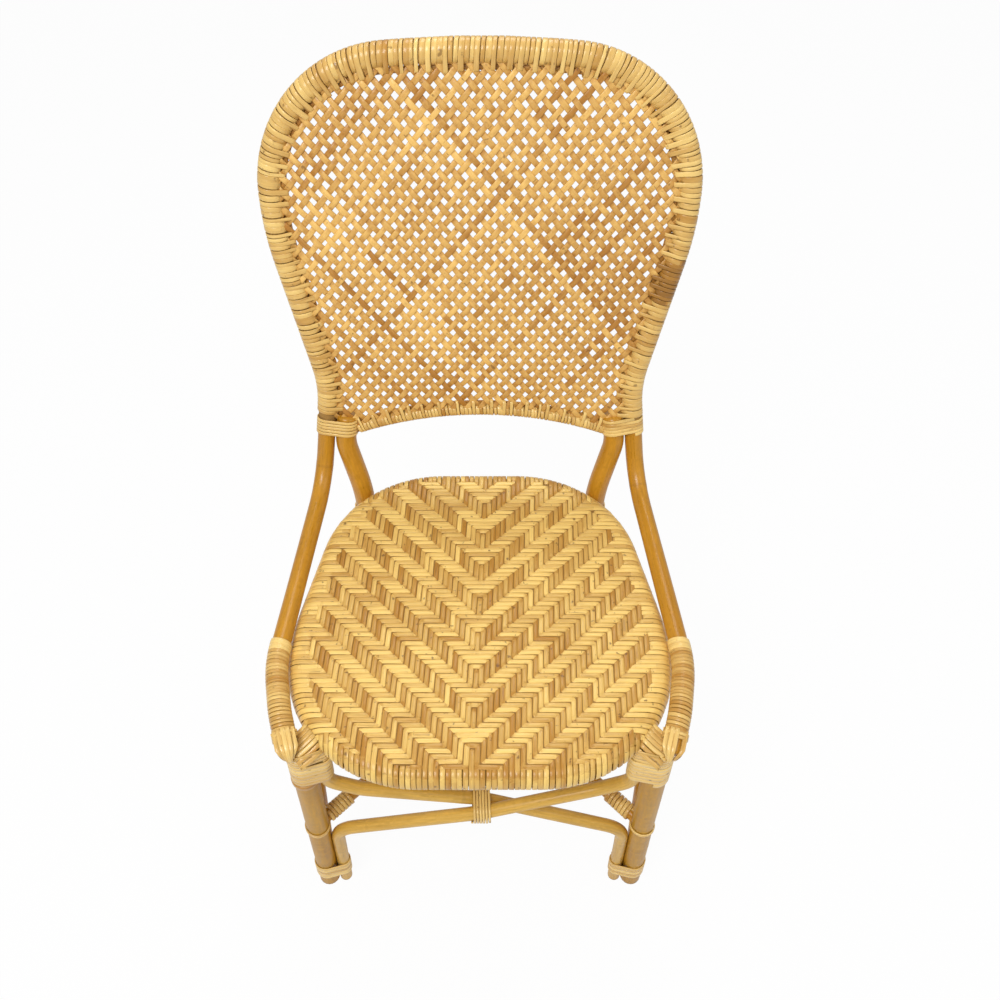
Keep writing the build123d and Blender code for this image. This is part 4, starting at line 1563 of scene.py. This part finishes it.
@dataclass
class SideRails:
    """The rails beside the seat, their wound front halves and their woven knobs."""

    layout: Layout
    finishes: Finishes
    strand_count: int = 5
    bulb_length: float = 22
    bulb_radius: float = 14.6

    def build(self) -> None:
        """Builds both side rails."""
        layout = self.layout
        for side in Side:
            name = side.name.lower()
            route = layout.side_rail_route(side.value)
            pole = Workpiece(f"side_rail_pole_{name}")
            stations = pole_stations(route, layout.hoop_pole_radius, Seed.SIDE_RAIL + side.value)
            pole.lay(stations, Shape.POLE)
            pole.finish(self.finishes.brown_pole, "brown_pole", f"side_rail_{name}")
            start = self._wrap_start(side.value, route)
            strip = Winding(
                layout.wrap_radius + 0.4, 1.2, 4.1, spread=0.14, gap=0.14, steps=16, tone=0.78,
                broad_starts=2, seam=-90 - 45 * side.value,
            )
            wrap = Workpiece(f"side_rail_peel_{name}")
            end = route.length - self.bulb_length
            wrap.lay(strip.round_route(route, start, end, Seed.SIDE_RAIL_WRAP + side.value), Shape.PEEL)
            wrap.finish(self.finishes.peel, "peel", f"side_rail_wrap_{name}")
        self._knobs()

    def _wrap_start(self, side: float, route: Route) -> float:
        """Distance along a rail where its peel starts."""
        layout = self.layout
        goal = layout.seat_y - layout.side_wrap_start_forward
        for place, run in zip(route.places, route.runs):
            if place.y < goal:
                return run
        return route.length / 2

    def _knobs(self) -> None:
        """Weaves strands over the end of each rail, under a last ring of peel."""
        layout = self.layout
        piece = Workpiece("side_rail_knobs")
        rng = random.Random(Seed.KNOB)
        for side in Side:
            route = layout.side_rail_route(side.value)
            end, ahead, _ = route.at(route.length)
            across = ahead.cross(UP).normalized()
            over = across.cross(ahead).normalized()
            for strand in range(self.strand_count):
                if side is Side.RIGHT and strand == 1:
                    continue
                shift = (strand - (self.strand_count - 1) / 2) * 4.9
                tone = rng.uniform(0.1, 0.6)
                stations = []
                for ahead_by, height, bearing in self._bulb(shift):
                    drawn_in = 1 - 0.62 * max(math.cos(bearing), 0.0) ** 1.5
                    place = end + across * (shift * drawn_in) + over * height + ahead * ahead_by
                    normal = over * math.sin(bearing) + ahead * math.cos(bearing)
                    wide = 5.2 * (1 - 0.35 * max(math.cos(bearing), 0.0))
                    thick = 1.4 + 0.35 * (strand % 2)
                    run = len(stations) * 4.0 + strand * 80
                    stations.append(Station(place, across, normal, run, wide, thick, tone))
                piece.lay(stations, Shape.PEEL)
            band = Band(3.9, 1.8, 2, gap=0.2, tone=0.35)
            origin = end - ahead * (self.bulb_length + 4)
            hull = Hull(origin, across, ahead, ((0.0, 0.0, layout.wrap_radius + 1),))
            piece.lay(band.stations(hull, Seed.KNOB_RING + side.value), Shape.PEEL)
        piece.finish(self.finishes.peel, "peel", "side_rail_caps")

    def _bulb(self, shift: float) -> list[tuple[float, float, float]]:
        """Distance ahead, height and bearing of places on a knob's strand, from its top round to below."""
        nose = self.layout.knob_cap_length
        radius = math.sqrt(self.bulb_radius**2 - shift**2)
        neck = math.sqrt((self.layout.wrap_radius + 1) ** 2 - min(abs(shift), 11.0) ** 2)
        back = []
        for step in range(5):
            share = step / 5
            height = neck + (radius - neck) * math.sin(share * math.pi / 2)
            back.append((-self.bulb_length * (1 - share) - 4, height))
        places = [(run, height, math.pi / 2) for run, height in back]
        for step in range(9):
            bearing = math.pi * (0.5 - step / 8)
            reach = (nose + 4) * math.cos(bearing) * radius / self.bulb_radius
            places.append((reach - 4, radius * math.sin(bearing), bearing))
        places += [(run, -height, -math.pi / 2) for run, height in reversed(back)]
        return places


@dataclass
class Legs:
    """The front legs, and the rear legs that go on up into the back's corners."""

    layout: Layout
    finishes: Finishes

    def build(self) -> None:
        """Builds the four legs."""
        layout = self.layout
        top = layout.knob_height - 5
        for side in Side:
            name = side.name.lower()
            front = Workpiece(f"front_leg_pole_{name}")
            ends = [layout.front_leg_at(side.value, 0), layout.front_leg_at(side.value, top)]
            route = Route.through(ends, [], FORWARD)
            stations = pole_stations(route, layout.front_leg_radius, Seed.FRONT_LEG + side.value)
            front.lay(level_foot(stations), Shape.POLE)
            front.finish(self.finishes.pale_pole, "pale_pole", f"front_leg_{name}")
            rear = Workpiece(f"rear_leg_pole_{name}")
            route = layout.rear_leg_route(side.value)
            stations = pole_stations(route, layout.rear_leg_radius, Seed.REAR_LEG + side.value)
            rear.lay(level_foot(stations), Shape.POLE)
            rear.finish(self.finishes.brown_pole, "pale_pole", f"rear_leg_{name}")


def level_foot(stations: list[Station]) -> list[Station]:
    """Turns the first station's section level, so that a pole stands flat on the floor."""
    first = stations[0]
    side = Vector((first.side.x, first.side.y, 0)).normalized()
    out = Vector((first.out.x, first.out.y, 0))
    out = (out - side * out.dot(side)).normalized()
    return [first._replace(side=side, out=out)] + stations[1:]


@dataclass
class UnderFrame:
    """The crossing poles, the side arches and the diagonal stretchers."""

    layout: Layout
    finishes: Finishes

    def build(self) -> None:
        """Builds every pole under the seat."""
        layout = self.layout
        for side in Side:
            name = side.name.lower()
            fronts = layout.crossing_route(layout.front_leg_at, side.value, layout.front_leg_radius)
            rears = layout.crossing_route(layout.rear_leg_at, side.value, layout.rear_leg_radius)
            for row, route in (("front", fronts), ("rear", rears)):
                pole = Workpiece(f"{row}_crossing_pole_natural_{name}")
                stations = pole_stations(route, layout.brace_radius, Seed.CROSSING_POLE + side.value)
                stations = level_foot(stations)
                pole.lay(stations, Shape.POLE)
                pole.finish(self.finishes.crossing_pole, "pale_pole", f"{row}_crossing_pole_{name}")
            arch = Workpiece(f"side_arch_pole_{name}")
            route = layout.arch_route(side.value)
            stations = pole_stations(route, layout.brace_radius, Seed.SIDE_ARCH + side.value)
            stations = level_foot(level_foot(stations)[::-1])[::-1]
            arch.lay(stations, Shape.POLE)
            arch.finish(self.finishes.brown_pole, "pale_pole", f"side_arch_{name}")
            stretcher = Workpiece(f"diagonal_stretcher_pole_{name}")
            route = Route.through(layout.stretcher_points(side.value), [layout.stretcher_bow_radius], UP)
            stations = pole_stations(route, layout.stretcher_radius, Seed.STRETCHER + side.value)
            stretcher.lay(stations, Shape.POLE)
            stretcher.finish(self.finishes.brown_pole, "brown_pole", f"diagonal_stretcher_{name}")


@dataclass
class Bindings:
    """The peel that binds the joints of the frame."""

    layout: Layout
    finishes: Finishes
    foot_bottom: float = 30
    lashing_bends: tuple[tuple[float, float], ...] = (
        (19, 9.0), (12, 6.0), (4, 3.2), (-6, 2.0), (-12, -1.0),
    )

    def build(self) -> None:
        """Builds every binding."""
        self._feet()
        self._leg_bands()
        self._lashings()
        self._back_corners()
        self._crossings()
        self._stretcher_wraps()

    def _feet(self) -> None:
        """Binds the crossing pole and the side arch to each leg's foot."""
        layout = self.layout
        for place, (row, leg_at, radius) in enumerate(layout.leg_rows):
            piece = Workpiece(f"{row}_foot_peel")
            for side in Side:
                up = layout.leg_up(leg_at, side.value)
                arch = layout.arch_offsets(side.value)[place]
                brace = (layout.brace_beside(side.value, radius), 0.0, layout.brace_radius)
                circles = ((0.0, 0.0, radius), brace, (arch.x, arch.y, layout.brace_radius))
                hull = Hull.round_all(leg_at(side.value, self.foot_bottom), RIGHTWARD, up, circles)
                band = Band(7.1, 1.7, 5, gap=0.4, tone=0.35)
                piece.lay(band.stations(hull, Seed.FOOT_BINDING + side.value + 5 * place), Shape.PEEL)
            piece.finish(self.finishes.peel, "peel", f"{row}_foot_bindings")

    def _leg_bands(self) -> None:
        """Binds the end of a crossing pole to the top of each leg."""
        layout = self.layout
        for row, leg_at, radius in layout.leg_rows:
            piece = Workpiece(f"{row}_leg_peel")
            for side in Side:
                up = layout.leg_up(leg_at, side.value)
                brace = (layout.brace_beside(side.value, radius), 0.0, layout.brace_radius)
                circles = ((0.0, 0.0, radius), brace)
                hull = Hull(leg_at(side.value, layout.leg_binding_bottom), RIGHTWARD, up, circles)
                band = Band(8.0, 1.7, 6, gap=0.35, tone=0.3)
                piece.lay(band.stations(hull, Seed.LEG_BINDING + side.value), Shape.PEEL)
            piece.finish(self.finishes.peel, "peel", f"{row}_leg_bindings")

    def _lashings(self) -> None:
        """Ties each rail's end over its leg to the seat, and each stretcher's end to its leg."""
        layout = self.layout
        piece = Workpiece("front_leg_ties")
        for side in Side:
            foot = layout.front_leg_at(side.value, 0)
            up = (layout.front_leg_at(side.value, 100) - foot).normalized()
            inward = Vector((-side.value * layout.front_top.x, -layout.front_top.y, 0)).normalized()
            circles = ((0.0, 0.0, layout.front_leg_radius), (layout.front_leg_radius + 10, 0.0, 6.0))
            top = layout.front_leg_at(side.value, layout.knob_height - 5)
            beside = inward.cross(UP)
            for strand in range(7):
                offset = (2 - strand) * 5.2 * side.value
                fall = 0.02 * offset**2
                tilted = (beside - UP * (0.04 * offset)).normalized()
                out = inward.cross(tilted) * -1
                tone = 0.2 + 0.13 * (strand * 3 % 4)
                stations = [
                    Station(
                        top + inward * reach + beside * offset + UP * (lift - fall),
                        tilted, out, reach + strand * 40, 5.4, 1.5, tone,
                    )
                    for reach, lift in self.lashing_bends
                ]
                piece.lay(stations, Shape.PEEL)
            beside_leg = RIGHTWARD * (-side.value * (layout.front_leg_radius + layout.brace_radius))
            cover = (beside_leg.dot(inward), beside_leg.dot(beside) * -1, 7.0)
            high_place = layout.front_leg_at(side.value, layout.leg_binding_top + 1)
            high = Hull.round_all(high_place, inward, up, (*circles, cover))
            band = Band(6.4, 1.6, 4, gap=0.3, tone=0.35, lean=2.0)
            piece.lay(band.stations(high, Seed.LEG_TOP_TIE + side.value), Shape.PEEL)
            if side is Side.LEFT:
                under_place = layout.front_leg_at(side.value, layout.leg_binding_bottom - 13)
                under = Hull(under_place, inward, up, circles[:1])
                band = Band(10.0, 2.2, 1, tone=0.9, lean=2.0)
                piece.lay(band.stations(under, Seed.LEG_RING), Shape.PEEL)
            low_place = layout.front_leg_at(side.value, layout.stretcher_height - 8)
            low = Hull(low_place, inward, up, ((0.0, 0.0, layout.front_leg_radius),))
            band = Band(2.8, 1.5, 2, gap=1.0, tone=0.3, lean=3.0)
            piece.lay(band.stations(low, Seed.STRETCHER_TIE + side.value), Shape.PEEL)
        piece.finish(self.finishes.peel, "peel")

    def _back_corners(self) -> None:
        """Winds the peel that holds hoop, side rail and rear leg together."""
        layout = self.layout
        piece = Workpiece("back_corner_peel")
        for side in Side:
            low = layout.hoop_foot(layout.back_corner_height)
            high = layout.hoop_foot(layout.binding_top)
            leg = layout.hoop_foot(layout.back_corner_height, layout.corner_spacing)
            origin = layout.on_back(side.value * low[0], low[1])
            up = (layout.on_back(side.value * high[0], high[1]) - origin).normalized()
            across = layout.on_back(side.value * leg[0], leg[1]) - origin
            circles = (
                (0.0, 0.0, layout.hoop_pole_radius),
                (layout.corner_spacing, 0.0, layout.rear_leg_radius),
            )
            hull = Hull(origin, across, up, circles)
            band = Band(4.2, 1.7, 5, gap=0.25, tone=0.3)
            piece.lay(band.stations(hull, Seed.BACK_CORNER + side.value), Shape.PEEL)
        piece.finish(self.finishes.peel, "peel", "back_corner_bindings")

    def _crossings(self) -> None:
        """Winds the band in the middle of each pair of crossing poles."""
        layout = self.layout
        piece = Workpiece("crossing_peel")
        for number, (_, leg_at, radius) in enumerate(layout.leg_rows):
            centre = (leg_at(1, layout.brace_cross_height) + leg_at(-1, layout.brace_cross_height)) / 2
            run = leg_at(1, layout.brace_bend_height).x - radius - layout.brace_radius
            slope = (layout.brace_cross_height - layout.brace_bend_height) / run
            drop = slope * 11
            reach = layout.brace_radius + layout.brace_cross_gap
            thick = layout.brace_radius / math.cos(math.atan(slope))
            corners = ((-reach, -drop), (reach, -drop), (reach, drop), (-reach, drop))
            circles = tuple((*corner, thick) for corner in corners)
            hull = Hull(centre - RIGHTWARD * 11, Vector((0, 1, 0)), RIGHTWARD, circles)
            band = Band(3.1, 1.6, 6, gap=0.5, tone=0.35)
            piece.lay(band.stations(hull, Seed.CROSSING_BINDING + number), Shape.PEEL)
        piece.finish(self.finishes.peel, "peel", "crossing_pole_bindings")

    def _stretcher_wraps(self) -> None:
        """Winds peel on both ends of each diagonal stretcher."""
        layout = self.layout
        piece = Workpiece("stretcher_peel")
        for side in Side:
            front, middle, rear = layout.stretcher_points(side.value)
            ends = ((front, layout.front_leg_radius), (rear, layout.rear_leg_radius))
            for number, (end, radius) in enumerate(ends):
                ahead = (middle - end).normalized()
                start = end + ahead * (radius + 1)
                hull = Hull(start, UP, ahead, ((0.0, 0.0, layout.stretcher_radius),))
                band = Band(5.0, 2.6, 7, gap=0.2, tone=0.42)
                piece.lay(band.stations(hull, Seed.STRETCHER_WRAP + number + side.value), Shape.PEEL)
        piece.finish(self.finishes.peel, "peel", "stretcher_wraps")


@dataclass
class Studio:
    """A pale floor, soft light and the camera."""

    lens: float = 34.2
    camera_place: tuple[float, float, float] = (0.0, -0.6726, 1.40891)
    camera_tilt: float = 38.5
    shift_x: float = 0.02

    def build(self) -> None:
        """Sets up everything round the chair."""
        scene = bpy.context.scene
        scene.view_settings.view_transform = "Standard"
        self._floor()
        self._world()
        self._lamp("key", (-0.7, -1.3, 2.6), 1.1, 39.0)
        self._lamp("fill", (1.4, -0.6, 1.8), 1.2, 4.5)
        self._lamp("rear", (0.1, 1.3, 2.4), 1.0, 13.0)
        data = bpy.data.cameras.new("camera")
        data.lens = self.lens
        data.sensor_width = 36.0
        data.shift_x = self.shift_x
        camera = bpy.data.objects.new("camera", data)
        camera.location = self.camera_place
        camera.rotation_euler = (math.radians(self.camera_tilt), 0.0, 0.0)
        scene.collection.objects.link(camera)
        scene.camera = camera

    def _floor(self) -> None:
        """Lays the floor, white to the camera apart from the chair's soft shadow."""
        mesh = bmesh.new()
        bmesh.ops.create_grid(mesh, x_segments=2, y_segments=2, size=6.0)
        data = bpy.data.meshes.new("floor")
        mesh.to_mesh(data)
        mesh.free()
        floor = bpy.data.objects.new("floor", data)
        bpy.context.scene.collection.objects.link(floor)
        material = bpy.data.materials.new("Floor")
        material.use_nodes = True
        nodes, links = material.node_tree.nodes, material.node_tree.links
        shader = nodes["Principled BSDF"]
        shader.inputs["Base Color"].default_value = (0.86, 0.86, 0.86, 1)
        shader.inputs["Roughness"].default_value = 0.9
        shader.inputs["Specular IOR Level"].default_value = 0.1
        glow = nodes.new("ShaderNodeEmission")
        glow.inputs["Color"].default_value = (1, 1, 1, 1)
        path = nodes.new("ShaderNodeLightPath")
        share = nodes.new("ShaderNodeMath")
        share.operation = "MULTIPLY"
        share.inputs[1].default_value = 0.95
        mix = nodes.new("ShaderNodeMixShader")
        links.new(path.outputs["Is Camera Ray"], share.inputs[0])
        links.new(share.outputs[0], mix.inputs[0])
        links.new(shader.outputs[0], mix.inputs[1])
        links.new(glow.outputs[0], mix.inputs[2])
        links.new(mix.outputs[0], nodes["Material Output"].inputs["Surface"])
        data.materials.append(material)

    def _world(self) -> None:
        """Lights the chair evenly from all round."""
        world = bpy.data.worlds.new("studio")
        bpy.context.scene.world = world
        world.use_nodes = True
        shade = world.node_tree.nodes["Background"]
        shade.inputs["Color"].default_value = (1, 1, 1, 1)
        shade.inputs["Strength"].default_value = 0.48

    def _lamp(self, name: str, place: tuple[float, float, float], size: float, power: float) -> None:
        """Hangs one soft lamp that points at the middle of the chair.

        Args:
            name: Name of the lamp.
            place: Where it hangs, in metres.
            size: Width of its square face.
            power: Strength in watts.
        """
        data = bpy.data.lights.new(name, "AREA")
        data.size = size
        data.energy = power
        lamp = bpy.data.objects.new(name, data)
        lamp.location = place
        aim = Vector((0, 0, 0.5)) - Vector(place)
        lamp.rotation_euler = aim.to_track_quat("-Z", "Y").to_euler()
        bpy.context.scene.collection.objects.link(lamp)


def corners(box: Iterable[Vector]) -> list[list[float]]:
    """The two corners of a box as plain lists."""
    return [list(corner) for corner in box]


def main() -> None:
    """Loads the frame and dresses every part of the chair."""
    logging.basicConfig(level=logging.INFO, format="%(message)s")
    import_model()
    layout = Layout()
    finishes = Finishes()
    for part in (Back, Seat, SideRails, Legs, UnderFrame, Bindings):
        part(layout, finishes).build()
    Studio().build()


if __name__ == "__main__":
    main()
